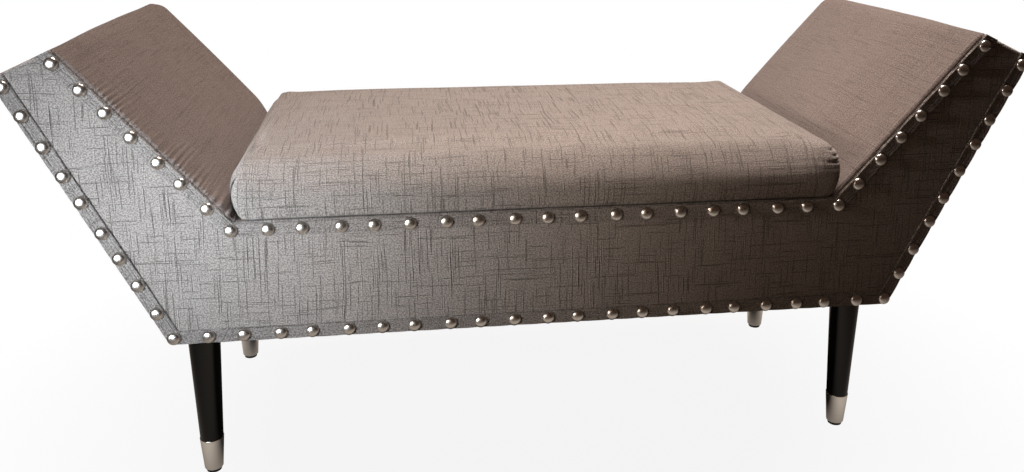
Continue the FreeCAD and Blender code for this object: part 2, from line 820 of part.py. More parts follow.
# Trim strips along the front edges, mitred where they meet

LEVEL_BANDS = {
    "seat_rail_band": [(("rail", "0"), ("inner", "0")), (("rail", BAND), ("inner", BAND))],
    "bottom_band": [(("bottom", "0"), ("outer", "0")), (("bottom", BAND), ("outer", BAND))],
}
SLOPING_BANDS = {
    "inner_band": [
        (("inner", "0"), ("rail", "0")),
        (("inner", BAND), ("rail", BAND)),
        (("inner", BAND), ("top", "0")),
        (("inner", "0"), ("top", "0")),
    ],
    "outer_band": [
        (("outer", "0"), ("top", "0")),
        (("outer", BAND), ("top", "0")),
        (("outer", BAND), ("bottom", BAND)),
        (("outer", "0"), ("bottom", "0")),
    ],
}
BAND_FRONT = f"({FRONT_FACE} + sizes.band_thickness)"
for name, spots in LEVEL_BANDS.items():
    strip = outline_board(f"{name}_strip", spots, BAND_FRONT, "sizes.band_thickness", both_sides=True)
    drilled(name, strip, nail_drills)
for name, spots in SLOPING_BANDS.items():
    strip = outline_board(f"{name}_strip", spots, BAND_FRONT, "sizes.band_thickness")
    drilled(f"right_{name}", strip, nail_drills)
    drilled(f"left_{name}", mirror_left(strip, f"left_{name}_strip"), nail_drills)


# Legs: a turned taper with a bolt in its head, a metal ferrule on its toe and a pinned glide

SPIGOT_TOP = "(sizes.ferrule_top_width / 2 - sizes.ferrule_wall - sizes.fit_ease / 2)"
SPIGOT_FOOT = "(sizes.ferrule_foot_width / 2 - sizes.ferrule_wall - sizes.fit_ease / 2)"
CUP_TOP = "(sizes.ferrule_top_width / 2 - sizes.ferrule_wall)"
CUP_FOOT = "(sizes.ferrule_foot_width / 2 - sizes.ferrule_wall)"
CUP_FLOOR = "(sizes.glide_height + sizes.ferrule_base)"
BOLT_BORE = "(sizes.bolt_width / 2 + sizes.fit_ease / 2)"
PIN_BORE = "(sizes.glide_pin_width / 2 + sizes.fit_ease / 2)"
PIN_TOP = "(sizes.glide_height + sizes.glide_pin_length)"
BOLT_FOOT = "(sizes.underside_height - sizes.bolt_in_leg)"
LEG = [
    (BOLT_BORE, "sizes.underside_height"),
    ("sizes.leg_top_width / 2", "sizes.underside_height"),
    ("sizes.leg_waist_width / 2", "sizes.ferrule_top_height"),
    (SPIGOT_TOP, "sizes.ferrule_top_height"),
    (SPIGOT_FOOT, CUP_FLOOR),
    (PIN_BORE, CUP_FLOOR),
    (PIN_BORE, PIN_TOP),
    ("0", PIN_TOP),
    ("0", BOLT_FOOT),
    (BOLT_BORE, BOLT_FOOT),
]
FERRULE = [
    (PIN_BORE, "sizes.glide_height"),
    ("sizes.ferrule_foot_width / 2", "sizes.glide_height"),
    ("sizes.ferrule_top_width / 2", "sizes.ferrule_top_height"),
    (CUP_TOP, "sizes.ferrule_top_height"),
    (CUP_FOOT, CUP_FLOOR),
    (PIN_BORE, CUP_FLOOR),
]
GLIDE = [
    ("0", "0"),
    ("sizes.glide_width / 2 - sizes.glide_chamfer", "0"),
    ("sizes.glide_width / 2", "sizes.glide_chamfer"),
    ("sizes.glide_width / 2", "sizes.glide_height"),
    ("sizes.glide_pin_width / 2", "sizes.glide_height"),
    ("sizes.glide_pin_width / 2", PIN_TOP),
    ("0", PIN_TOP),
]
for corner, (x, y) in LEG_PLACES.items():
    for piece, profile in (("leg", LEG), ("ferrule", FERRULE), ("glide", GLIDE)):
        body = keep(f"{corner}_{piece}", turned(f"{corner}_{piece}", profile))
        body.setExpression("Placement.Base.x", x)
        body.setExpression("Placement.Base.y", y)


# Build, check and write every sub-part

doc.recompute()
failed = [obj.Label for obj in doc.Objects if {"Invalid", "Error"} & set(obj.State)]
bad = [name for name, obj in nodes.items() if obj.Shape.isNull() or not obj.Shape.isValid()]
if failed or bad:
    raise RuntimeError(f"failed objects {failed}, bad shapes {bad}")
os.makedirs("parts", exist_ok=True)
for name, obj in nodes.items():
    obj.Shape.exportStep(f"parts/{name}.step")
    print(f"{name}: {len(obj.Shape.Solids)} solid(s), {obj.Shape.Volume / 1000:.1f} cm3")
print(f"{len(nodes)} sub-parts written")
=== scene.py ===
# %% [markdown]
# # A winged bench in linen and bright nails
# This lesson dresses a measured bench model so that it looks like the real thing.
# The bench is a low seat between two wings that lean outwards. Cloth is stretched over its frame,
# folded strips cover the front edges, and dome-headed nails hold the strips down.
# The measured model gives every size. Each visible piece is modelled again on top of it.

# %% Load the measured model
import math

import bpy
from mathutils import Matrix, Vector, noise
from mathutils.bvhtree import BVHTree


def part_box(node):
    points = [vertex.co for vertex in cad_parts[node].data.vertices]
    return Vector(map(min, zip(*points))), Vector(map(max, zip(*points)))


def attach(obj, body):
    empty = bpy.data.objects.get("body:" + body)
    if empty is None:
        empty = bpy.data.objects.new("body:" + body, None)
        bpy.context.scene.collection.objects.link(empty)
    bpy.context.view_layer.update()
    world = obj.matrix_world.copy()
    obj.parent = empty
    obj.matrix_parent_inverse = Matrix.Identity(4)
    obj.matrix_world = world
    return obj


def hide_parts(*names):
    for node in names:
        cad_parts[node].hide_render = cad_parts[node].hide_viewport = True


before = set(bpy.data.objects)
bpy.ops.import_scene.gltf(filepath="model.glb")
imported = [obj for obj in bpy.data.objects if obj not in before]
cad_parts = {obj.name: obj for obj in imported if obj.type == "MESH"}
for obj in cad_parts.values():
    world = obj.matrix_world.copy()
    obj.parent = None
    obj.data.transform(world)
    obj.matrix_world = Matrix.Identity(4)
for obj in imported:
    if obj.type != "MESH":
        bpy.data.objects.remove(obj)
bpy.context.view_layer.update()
scene = bpy.context.scene

# %% [markdown]
# ## The outline that everything follows
# Seen from the front the bench is a boat: a flat base, two leaning ends, two short wing tops, two
# inner slopes and the straight seat rail. The corners could be typed in as numbers, but reading
# them from the measured cloth keeps the dressed bench on the model if a size changes.

# %% Read the outline from the model
def points_of(node):
    """Every corner of a measured part, in metres."""
    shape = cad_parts[node]
    return [shape.matrix_world @ vertex.co for vertex in shape.data.vertices]


def flat(point):
    """The front view of a point: across and up."""
    return Vector((point.x, point.z))


cloth_points = points_of("front_cover")
rail_points = points_of("seat_rail_band")
TIP_OUT = flat(max(cloth_points, key=lambda p: p.x))
TIP_IN = flat(max(cloth_points, key=lambda p: (round(p.z, 5), p.x)))
BASE = flat(max(cloth_points, key=lambda p: (-round(p.z, 5), p.x)))
SEAT = flat(max(rail_points, key=lambda p: (round(p.z, 5), p.x)))
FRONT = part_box("front_cover")[0].y
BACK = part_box("back_cover")[1].y
BAND_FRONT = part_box("seat_rail_band")[0].y
BAND_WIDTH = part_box("seat_rail_band")[1].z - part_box("seat_rail_band")[0].z
HALF_OUTLINE = [SEAT, TIP_IN, TIP_OUT, BASE]
print("corners:", [tuple(round(c, 3) for c in p) for p in HALF_OUTLINE])


# %% [markdown]
# ## Camera
# The camera stands a little left of the middle and looks down on the seat. Its place and turn were
# worked out from the bench's own corners, so the numbers are plain distances and angles. The frame
# is shifted down and left, because the picture is a crop of a taller one.

# %% Place the camera
CAMERA_PLACE = (-0.1685, -1.2607, 0.7232)
CAMERA_YAW = math.radians(7.757)
CAMERA_PITCH = math.radians(12.566)
CAMERA_ROLL = math.radians(0.197)

lens = bpy.data.cameras.new("camera")
lens.sensor_width = 36.0
lens.lens = 32.43
lens.shift_x = -0.0146
lens.shift_y = -0.128
camera = bpy.data.objects.new("camera", lens)
turn = Matrix.Rotation(-CAMERA_YAW, 4, "Z") @ Matrix.Rotation(math.pi / 2 - CAMERA_PITCH, 4, "X")
camera.matrix_world = Matrix.Translation(CAMERA_PLACE) @ turn @ Matrix.Rotation(CAMERA_ROLL, 4, "Z")
scene.collection.objects.link(camera)
scene.camera = camera
scene.view_settings.view_transform = "Standard"
print("camera at", CAMERA_PLACE)


# %% [markdown]
# ## Wiring nodes by code
# Every finish below is a small net of nodes. A helper that adds a node, sets its plain values and
# joins its sockets in one line keeps those nets short enough to read.

# %% A helper for node trees
class Wiring:
    """Adds nodes to one tree and joins them."""

    def __init__(self, tree):
        self.tree = tree

    def node(self, kind, inputs=None, **settings):
        made = self.tree.nodes.new(kind)
        for name, value in settings.items():
            setattr(made, name, value)
        for name, value in (inputs or {}).items():
            if isinstance(value, bpy.types.NodeSocket):
                self.tree.links.new(value, made.inputs[name])
            else:
                made.inputs[name].default_value = value
        return made

    def math(self, operation, first, second=0.0, third=0.0):
        inputs = {0: first, 1: second, 2: third}
        return self.node("ShaderNodeMath", inputs, operation=operation).outputs[0]

    def noise(self, place, along, across, shift=0.0, detail=1.0):
        """Soft noise whose grain may be drawn out: its fineness per metre along and across."""
        settings = {"Vector": place, "Location": (shift, shift, shift), "Scale": (along, across, 1.0)}
        drawn = self.node("ShaderNodeMapping", settings).outputs[0]
        inputs = {"Vector": drawn, "Scale": 1.0, "Detail": detail}
        return self.node("ShaderNodeTexNoise", inputs, noise_dimensions="3D").outputs[0]

    def remap(self, value, low, high, new_low=0.0, new_high=1.0):
        inputs = {0: value, 1: low, 2: high, 3: new_low, 4: new_high}
        return self.node("ShaderNodeMapRange", inputs).outputs[0]

    def mix(self, share, first, second, blend="MIX"):
        """Two colours laid together."""
        inputs = {0: share, 6: first, 7: second}
        settings = {"data_type": "RGBA", "blend_type": blend}
        return self.node("ShaderNodeMix", inputs, **settings).outputs[2]


def new_group(name, inputs, outputs):
    """An empty node group with its sockets, and the wiring to fill it."""
    tree = bpy.data.node_groups.new(name, "ShaderNodeTree")
    for label, kind in inputs:
        tree.interface.new_socket(label, in_out="INPUT", socket_type=kind)
    for label, kind in outputs:
        tree.interface.new_socket(label, in_out="OUTPUT", socket_type=kind)
    wiring = Wiring(tree)
    return tree, wiring, wiring.node("NodeGroupInput").outputs, wiring.node("NodeGroupOutput")


print("helper ready")


# %% [markdown]
# ## Linen weave
# The cloth is a plain weave of uneven yarn, with threads about a millimetre apart. Here and there a
# single thread is thick and pale, or sunk, for a few centimetres of its length; the sunk ones are
# painted darker as the shade in their grooves. A picture of cloth could be wrapped on, but a
# pattern worked out from the cloth's own flat measure stays sharp at any distance and follows each
# panel's grain.

# %% The weave group
THREAD_PITCH = 0.0011
YARN_PITCH = 0.0013


def make_weave():
    """Colour, height and roughness of slubby linen, from a place on the cloth in metres."""
    tree, w, given, result = new_group(
        "linen weave",
        [
            ("Place", "NodeSocketVector"),
            ("Light thread", "NodeSocketColor"),
            ("Dark thread", "NodeSocketColor"),
            ("Slubs", "NodeSocketFloat"),
        ],
        [
            ("Color", "NodeSocketColor"),
            ("Height", "NodeSocketFloat"),
            ("Roughness", "NodeSocketFloat"),
        ],
    )
    place = given["Place"]
    drift = w.noise(place, 8.0, 8.0)
    sway = w.remap(drift, 0.0, 1.0, -0.004, 0.004)
    swayed = w.node("ShaderNodeVectorMath", {0: place, 1: sway}, operation="ADD").outputs[0]
    axes = w.node("ShaderNodeSeparateXYZ", {0: swayed}).outputs

    def ridge(count):
        """A round thread: 0 at its sides and 1 along its middle."""
        return w.math("ABSOLUTE", w.math("SINE", w.math("MULTIPLY", count, math.pi)))

    warp = w.math("DIVIDE", axes[0], THREAD_PITCH)
    weft = w.math("DIVIDE", axes[1], THREAD_PITCH)
    cells = w.math("ADD", w.math("FLOOR", warp), w.math("FLOOR", weft))
    over = w.math("FLOORED_MODULO", cells, 2.0)
    warp_part = w.math("MULTIPLY", ridge(warp), over)
    weft_part = w.math("MULTIPLY", ridge(weft), w.math("SUBTRACT", 1.0, over))
    thread = w.math("ADD", warp_part, weft_part)

    speckle = w.remap(w.noise(swayed, 580.0, 580.0, 3.0), 0.3, 0.7, -1.05, 1.05)
    runs = w.math("ADD", w.noise(swayed, 18.0, 560.0, 5.0), w.noise(swayed, 560.0, 18.0, 9.0))
    tone = w.remap(runs, 0.6, 1.4, 0.3, 0.7)
    thread_tone = w.remap(thread, 0.0, 1.0, -0.2, 0.13)
    shade = w.math("ADD", w.math("ADD", tone, speckle), thread_tone)

    def yarn(side, run, shift, low, high):
        """Single threads that differ from their neighbours, each for part of its length."""
        count = w.math("DIVIDE", axes[side], YARN_PITCH)
        index = w.math("MULTIPLY", w.math("FLOOR", count), 17.317)
        spot = {0: index, 1: w.math("MULTIPLY", axes[run], 15.0), 2: shift}
        place = w.node("ShaderNodeCombineXYZ", spot).outputs[0]
        tone = w.node("ShaderNodeTexNoise", {"Vector": place, "Scale": 1.0, "Detail": 1.0}).outputs[0]
        return w.math("MULTIPLY", w.remap(tone, low, high), ridge(count))

    thick = w.math("MAXIMUM", yarn(0, 1, 3.3, 0.64, 0.71), yarn(1, 0, 7.7, 0.65, 0.72))
    slub = w.math("MULTIPLY", thick, given["Slubs"])
    sunk = w.math("MAXIMUM", yarn(0, 1, 11.3, 0.6, 0.66), yarn(1, 0, 15.7, 0.62, 0.68))
    thin = w.math("MULTIPLY", sunk, given["Slubs"])

    cloth = w.mix(shade, given["Dark thread"], given["Light thread"])
    paler = w.mix(w.math("MULTIPLY", slub, 0.12), cloth, (0.48, 0.45, 0.43, 1.0))
    # Painted shade: the sunk threads are darkened in colour, standing in for the shade in their grooves.
    painted_groove_shade = w.mix(w.math("MULTIPLY", thin, 0.7), paler, (0.22, 0.2, 0.19, 1.0), "MULTIPLY")
    grain = w.math("ADD", w.math("MULTIPLY", thread, 0.3), w.math("MULTIPLY", shade, 0.1))
    raised = w.math("ADD", grain, w.math("MULTIPLY", slub, 1.3))
    height = w.math("SUBTRACT", raised, w.math("MULTIPLY", thin, 0.8))
    rough = w.remap(shade, 0.0, 1.0, 0.95, 0.8)
    w.tree.links.new(painted_groove_shade, result.inputs["Color"])
    w.tree.links.new(height, result.inputs["Height"])
    w.tree.links.new(rough, result.inputs["Roughness"])
    return tree


WEAVE = make_weave()
print("weave group has", len(WEAVE.nodes), "nodes")


# %% [markdown]
# ## Wear on hard finishes
# Lacquer, metal and plastic are never quite even. One shared group gives a soft mottle that each
# hard material uses for its roughness and its faint unevenness.

# %% The mottle group
def make_mottle():
    """Uneven gloss: a roughness between two values, and a height for the bump."""
    tree, w, given, result = new_group(
        "mottle",
        [
            ("Place", "NodeSocketVector"),
            ("Grain", "NodeSocketVector"),
            ("Smooth", "NodeSocketFloat"),
            ("Rough", "NodeSocketFloat"),
        ],
        [("Roughness", "NodeSocketFloat"), ("Height", "NodeSocketFloat")],
    )
    drawn = w.node("ShaderNodeVectorMath", {0: given["Place"], 1: given["Grain"]}, operation="MULTIPLY")
    settings = {"Vector": drawn.outputs[0], "Scale": 1.0, "Detail": 4.0}
    grain = w.node("ShaderNodeTexNoise", settings).outputs[0]
    spread = w.remap(grain, 0.35, 0.65)
    gap = w.math("SUBTRACT", given["Rough"], given["Smooth"])
    rough = w.math("MULTIPLY_ADD", spread, gap, given["Smooth"])
    w.tree.links.new(rough, result.inputs["Roughness"])
    w.tree.links.new(grain, result.inputs["Height"])
    return tree


MOTTLE = make_mottle()
print("mottle group has", len(MOTTLE.nodes), "nodes")


# %% [markdown]
# ## Finishes
# The cloth takes its colour, roughness and bump from the weave group and has a little sheen, as
# brushed linen has. The wings use a darker, browner copy of the same cloth, which is painted shade.
# The hard finishes differ only in colour, metal, gloss and how the mottle is drawn out: round the
# leg for the ferrule, along the grain for the timber.

# %% Make the materials
def base_material(name):
    """A new material, its wiring and its main shader."""
    material = bpy.data.materials.new(name)
    material.use_nodes = True
    wiring = Wiring(material.node_tree)
    shader = material.node_tree.nodes["Principled BSDF"]
    return material, wiring, shader


def cloth_material(name, light, dark, slubs=1.0, bump=0.8):
    """Woven cloth that reads its place from the cloth's own flat measure."""
    material, w, shader = base_material(name)
    place = w.node("ShaderNodeTexCoord").outputs["UV"]
    weave = w.node("ShaderNodeGroup", node_tree=WEAVE)
    w.tree.links.new(place, weave.inputs["Place"])
    weave.inputs["Light thread"].default_value = light
    weave.inputs["Dark thread"].default_value = dark
    weave.inputs["Slubs"].default_value = slubs
    inputs = {"Strength": bump, "Distance": 0.0011, "Height": weave.outputs["Height"]}
    relief = w.node("ShaderNodeBump", inputs).outputs[0]
    w.tree.links.new(weave.outputs["Color"], shader.inputs["Base Color"])
    w.tree.links.new(weave.outputs["Roughness"], shader.inputs["Roughness"])
    w.tree.links.new(relief, shader.inputs["Normal"])
    shader.inputs["Specular IOR Level"].default_value = 0.2
    shader.inputs["Sheen Weight"].default_value = 0.2
    shader.inputs["Sheen Roughness"].default_value = 0.45
    return material


def hard_material(name, colour, metal, smooth, rough, grain, bump=0.05, shine=0.5):
    """Lacquer, metal, wood or plastic with an uneven gloss."""
    material, w, shader = base_material(name)
    place = w.node("ShaderNodeTexCoord").outputs["Object"]
    mottle = w.node("ShaderNodeGroup", node_tree=MOTTLE)
    w.tree.links.new(place, mottle.inputs["Place"])
    mottle.inputs["Grain"].default_value = grain
    mottle.inputs["Smooth"].default_value = smooth
    mottle.inputs["Rough"].default_value = rough
    inputs = {"Strength": bump, "Distance": 0.001, "Height": mottle.outputs["Height"]}
    relief = w.node("ShaderNodeBump", inputs).outputs[0]
    w.tree.links.new(mottle.outputs["Roughness"], shader.inputs["Roughness"])
    w.tree.links.new(relief, shader.inputs["Normal"])
    shader.inputs["Base Color"].default_value = colour
    shader.inputs["Metallic"].default_value = metal
    shader.inputs["Specular IOR Level"].default_value = shine
    return material


LINEN = cloth_material("linen", (0.34, 0.31, 0.29, 1.0), (0.17, 0.152, 0.142, 1.0))
# Painted shade: the wings' cloth is the same linen made darker and browner.
SHADED_WING_LINEN = cloth_material("wing_linen_painted_shade", (0.204, 0.17, 0.157, 1.0), (0.102, 0.084, 0.077, 1.0), 0.6, 0.5)
BAND_LINEN = cloth_material("band_linen", (0.29, 0.265, 0.25, 1.0), (0.13, 0.116, 0.109, 1.0), 0.7)
# Black dust cloth for the underside; the pad's foot also takes it as painted shade, a dark line above the
# rail.
DUST_CLOTH_AND_SHADE_LINE = cloth_material("dust_cloth", (0.03, 0.03, 0.03, 1.0), (0.012, 0.012, 0.012, 1.0), 0.2)
NAIL_METAL = hard_material("nail_metal", (0.6, 0.572, 0.535, 1.0), 1.0, 0.26, 0.33, (400.0, 400.0, 400.0))
FERRULE_METAL = hard_material("ferrule_metal", (0.9, 0.87, 0.83, 1.0), 1.0, 0.12, 0.2, (40.0, 40.0, 900.0))
LACQUER = hard_material(
    "leg_lacquer", (0.004, 0.0035, 0.003, 1.0), 0.0, 0.16, 0.24, (60.0, 60.0, 25.0), 0.04, 0.3
)
TIMBER = hard_material("timber", (0.47, 0.32, 0.19, 1.0), 0.0, 0.55, 0.75, (18.0, 260.0, 260.0), 0.25)
ZINC = hard_material("zinc_steel", (0.62, 0.63, 0.64, 1.0), 1.0, 0.3, 0.5, (220.0, 220.0, 220.0))
PLASTIC = hard_material("glide_plastic", (0.02, 0.02, 0.02, 1.0), 0.0, 0.4, 0.6, (300.0, 300.0, 300.0))
print("materials:", len(bpy.data.materials))


# %% [markdown]
# ## Meshes by code
# Every piece below is worked out point by point. Two helpers cover what repeats: one turns points
# and faces into an object, and one joins rings of points, as on nails and legs.

# %% Helpers for meshes
def new_piece(name, points, faces, *materials):
    """A smooth object made from points and faces."""
    mesh = bpy.data.meshes.new(name)
    mesh.from_pydata(points, [], faces)
    for face in mesh.polygons:
        face.use_smooth = True
    for material in materials:
        mesh.materials.append(material)
    piece = bpy.data.objects.new(name, mesh)
    scene.collection.objects.link(piece)
    return piece


def ring_faces(start, rings, sides):
    """Faces between rings of points that follow each other from a start."""
    faces = []
    for ring in range(rings - 1):
        for i in range(sides):
            a = start + ring * sides + i
            b = start + ring * sides + (i + 1) % sides
            faces.append((a, b, b + sides, a + sides))
    return faces


print("mesh helpers ready")


# %% [markdown]
# ## Floor, background and light
# A pale floor carries the shadow and a white surround gives the clean background. Four soft lights
# do the rest. The key is cool and close to the left of the front, so the front fades from left to
# right, and a weak warm fill carries that fade past the middle. A low side light picks out the right
# wing and lets the pad shade its foot. A wide warm light from above covers the seat and the wings.

# %% Build the stage
FLOOR_REACH = 14.0
LIGHTS = [
    ("key", (-0.62, -0.6, 0.43), (-0.42, -0.22, 0.385), (0.39, 0.39), 1.58, (0.86, 0.935, 1.0), 64.0),
    ("fill", (-0.3, -0.55, 0.43), (-0.038, -0.22, 0.364), (0.39, 0.39), 0.235, (1.0, 0.8, 0.62), 60.0),
    ("side", (-0.62, -0.34, 0.64), (0.45, -0.06, 0.46), (0.1, 0.1), 0.165, (1.0, 0.83, 0.74), 32.0),
    ("top", (0.25, 0.35, 2.6), (0.24, 0.0, 0.42), (1.0, 0.8), 25.0, (1.0, 0.84, 0.745), 85.0),
]


def area_light(name, place, target, size, power, colour, fan):
    """A soft rectangular light that faces a point: fan is how wide its light spreads, in degrees."""
    lamp = bpy.data.lights.new(name, "AREA")
    lamp.shape = "RECTANGLE"
    lamp.size, lamp.size_y = size
    lamp.energy = power
    lamp.color = colour
    lamp.spread = math.radians(fan)
    holder = bpy.data.objects.new(name, lamp)
    aim = Vector(target) - Vector(place)
    holder.matrix_world = Matrix.Translation(place) @ aim.to_track_quat("-Z", "Y").to_matrix().to_4x4()
    scene.collection.objects.link(holder)


def make_floor():
    """A wide pale floor that is white to the eye and still shows the shadow."""
    signs = [(-1, -1), (1, -1), (1, 1), (-1, 1)]
    floor = new_piece("floor", [(a * FLOOR_REACH, b * FLOOR_REACH, 0) for a, b in signs], [(0, 1, 2, 3)])
    material, w, shader = base_material("floor")
    shader.inputs["Roughness"].default_value = 0.7
    path = w.node("ShaderNodeLightPath").outputs
    white = w.mix(path["Is Camera Ray"], (1.0, 0.88, 0.77, 1.0), (1.0, 1.0, 1.0, 1.0))
    glow = w.node("ShaderNodeEmission", {"Color": white, "Strength": 1.0}).outputs[0]
    place = w.node("ShaderNodeTexCoord").outputs["Object"]
    away = w.node("ShaderNodeVectorMath", {0: place}, operation="LENGTH").outputs["Value"]
    share = w.remap(away, 0.35, 0.85, 0.9, 1.0)
    tint = w.mix(path["Is Diffuse Ray"], (0.16, 0.15, 0.14, 1.0), (0.06, 0.04, 0.028, 1.0))
    w.tree.links.new(tint, shader.inputs["Base Color"])
    # Painted reflection: glossy rays see the floor glow warm outside the bench's footprint, fading with
    # distance, and dark beneath the bench as painted shade.
    footprint = w.node("ShaderNodeVectorMath", {0: place, 1: (2.3, 4.2, 0.0)}, operation="MULTIPLY")
    outside = w.node("ShaderNodeVectorMath", {0: footprint.outputs[0]}, operation="LENGTH").outputs["Value"]
    painted_reflection_pool = w.math("MULTIPLY", w.remap(outside, 1.0, 1.35), w.remap(away, 0.5, 0.85, 0.45, 0.0))
    painted_reflection_share = w.math("MULTIPLY", path["Is Glossy Ray"], painted_reflection_pool)
    seen = w.math("MULTIPLY_ADD", path["Is Camera Ray"], share, painted_reflection_share)
    both = w.node("ShaderNodeMixShader", {0: seen, 1: shader.outputs[0], 2: glow}).outputs[0]
    w.tree.links.new(both, material.node_tree.nodes["Material Output"].inputs["Surface"])
    floor.data.materials.append(material)


def make_surround():
    """White to the camera, a dim even light for everything else."""
    world = bpy.data.worlds.new("surround")
    world.use_nodes = True
    scene.world = world
    w = Wiring(world.node_tree)
    w.tree.nodes.clear()
    seen = w.node("ShaderNodeLightPath").outputs["Is Camera Ray"]
    plain = w.node("ShaderNodeBackground", {"Color": (1.0, 1.0, 1.0, 1.0), "Strength": 1.0}).outputs[0]
    dim = w.node("ShaderNodeBackground", {"Color": (1.0, 0.6, 0.43, 1.0), "Strength": 0.048}).outputs[0]
    both = w.node("ShaderNodeMixShader", {0: seen, 1: dim, 2: plain}).outputs[0]
    w.tree.links.new(both, w.node("ShaderNodeOutputWorld").inputs["Surface"])


make_floor()
make_surround()
for light in LIGHTS:
    area_light(*light)
print("lights:", [light[0] for light in LIGHTS])


# %% [markdown]
# ## Building cloth from rows of points
# Most of the cloth here is a grid: rows of points laid over the frame, with a matching place on the
# flat cloth for each. One helper turns such rows into a smooth mesh.

# %% Grid helper
def spread(low, high, count):
    """Evenly spaced values from low to high."""
    return [low + (high - low) * i / (count - 1) for i in range(count)]


def ease(value, low, high):
    """0 below low, 1 above high and smooth between."""
    share = max(0.0, min(1.0, (value - low) / (high - low)))
    return share * share * (3.0 - 2.0 * share)


def grid_piece(name, rows, flat_rows, material, turned=False):
    """A smooth mesh through rows of points, with its flat measure."""
    wide = len(rows[0])
    faces = []
    for r in range(len(rows) - 1):
        for c in range(wide - 1):
            quad = (r * wide + c, r * wide + c + 1, (r + 1) * wide + c + 1, (r + 1) * wide + c)
            faces.append(quad[::-1] if turned else quad)
    piece = new_piece(name, [point for row in rows for point in row], faces, material)
    places = [place for row in flat_rows for place in row]
    layer = piece.data.uv_layers.new(name="flat")
    for loop in piece.data.loops:
        layer.data[loop.index].uv = places[loop.vertex_index]
    return piece


def settle(piece, slot, *nodes):
    """Fixes a finished piece to the bench, in place of the measured parts it stands for."""
    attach(piece, "root")
    if nodes:
        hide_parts(*nodes)
    print(piece.name, "has", len(piece.data.vertices), "points")


def thicken(piece, thickness):
    """Gives a sheet its thickness, on the side away from the eye."""
    layer = piece.modifiers.new("thickness", "SOLIDIFY")
    layer.thickness = thickness
    layer.offset = -1.0


def wave(x, y, z=0.0):
    """Smooth unevenness between about -1 and 1, the same every time."""
    return noise.noise(Vector((x, y, z)))


print("cloth helpers ready")


# %% [markdown]
# ## Where the nails are
# Each nail pulls the cloth in, so the cloth needs to know where they sit. The measured model has
# one part per row of nails. Grouping its points by distance gives back the single nails.

# %% Find every nail
NAIL_ROWS = [
    "seat_rail_nails",
    "bottom_nails",
    "left_inner_nails",
    "right_inner_nails",
    "left_outer_nails",
    "right_outer_nails",
]


def nail_places(node, reach=0.012):
    """The centre of each nail in a row, seen from the front."""
    groups = []
    for point in points_of(node):
        here = flat(point)
        for group in groups:
            if (group[0] - here).length < reach:
                group.append(here)
                break
        else:
            groups.append([here])
    centres = []
    for group in groups:
        across = [p.x for p in group]
        up = [p.y for p in group]
        centres.append(Vector(((min(across) + max(across)) / 2, (min(up) + max(up)) / 2)))
    return centres


NAILS = {node: nail_places(node) for node in NAIL_ROWS}
ALL_NAILS = [place for row in NAILS.values() for place in row]
print("nails:", {node: len(row) for node, row in NAILS.items()})


# %% [markdown]
# ## Working on the outline
# The panels and strips all follow the outline, so a few small tools for points and lines in the
# front view come first. Points are made for the right half and mirrored to the left.

# %% Tools for the outline
def flip(point):
    """The same point on the left half."""
    return Vector((-point.x, point.y))


def mirrored(points):
    """The outline points of both halves, from the left to the right."""
    return [flip(p) for p in points] + [p.copy() for p in reversed(points)]


def between(keys, counts):
    """Points along a bent line, a given number on each straight."""
    places = [keys[0]]
    for start, end, count in zip(keys, keys[1:], counts):
        places += [start.lerp(end, (i + 1) / count) for i in range(count)]
    return places


def meet(start, way, other, other_way):
    """The point where two lines cross."""
    gap = other - start
    size = (gap.x * other_way.y - gap.y * other_way.x) / (way.x * other_way.y - way.y * other_way.x)
    return start + way * size


def line_distance(point, start, end):
    """How far a point is from the line through two others."""
    along = (end - start).normalized()
    gap = point - start
    return abs(gap.x * along.y - gap.y * along.x)


def outline_area():
    """The area of the whole front outline."""
    ring = mirrored([BASE, TIP_OUT, TIP_IN, SEAT])
    return abs(sum(a.x * b.y - b.x * a.y for a, b in zip(ring, ring[1:] + ring[:1]))) / 2


print("front outline:", round(outline_area(), 4), "square metres")


# %% [markdown]
# ## Front cloth
# One boat-shaped panel is stretched over the front. Rows run from the base up to the outline's top
# edge, so the grid opens out into the wings. The cloth sinks a little round each nail, puffs a
# little between them, and turns back at the short wing tops.

# %% Weave the front cloth
TOP_TURN = 0.004


def panel_grid(ring, rail_cells, rises):
    """Points over a whole outline, in rows from the base upwards."""
    seat, tip_in, tip_out, base = ring
    cells = [8, 36, rail_cells, 36, 8]
    top = between(mirrored([tip_out, tip_in, seat]), cells)
    foot_keys = [base, base - Vector((0.03, 0)), Vector((seat.x - 0.04, base.y))]
    foot = between(mirrored(foot_keys), cells)
    return [[low.lerp(high, rise) for low, high in zip(foot, top)] for rise in rises]


def panel(name, rows, face, inward, depth):
    """A stretched panel: inward is 1 at the front and -1 at the back."""
    points = [[(p.x, face + inward * depth(p), p.y) for p in row] for row in rows]
    return grid_piece(name, points, [[(p.x, p.y) for p in row] for row in rows], LINEN, turned=inward < 0)


def nail_pull(place, reach):
    """1 at a nail, 0 away from all of them."""
    nearest = min((place - nail).length_squared for nail in ALL_NAILS)
    return math.exp(-nearest / (reach * reach))


def front_depth(place):
    """How far the front cloth lies behind its flat face at a place."""
    pull = 0.0008 * nail_pull(place, 0.017)
    puff = 0.0005 * wave(place.x * 9.0, place.y * 9.0) + 0.0002 * wave(place.x * 31.0, place.y * 24.0)
    side = Vector((abs(place.x), place.y))
    near_top = max(0.0, TOP_TURN - line_distance(side, TIP_IN, TIP_OUT))
    turn_in = TOP_TURN - math.sqrt(TOP_TURN**2 - near_top**2)
    return pull + turn_in - puff


front_rows = panel_grid(HALF_OUTLINE, 110, spread(0.0, 0.97, 46) + [0.98, 0.987, 0.993, 0.997, 1.0])
front_cloth = panel("front_cloth", front_rows, FRONT, 1, front_depth)
thicken(front_cloth, 0.0015)
settle(front_cloth, "linen_weave", "front_cover")

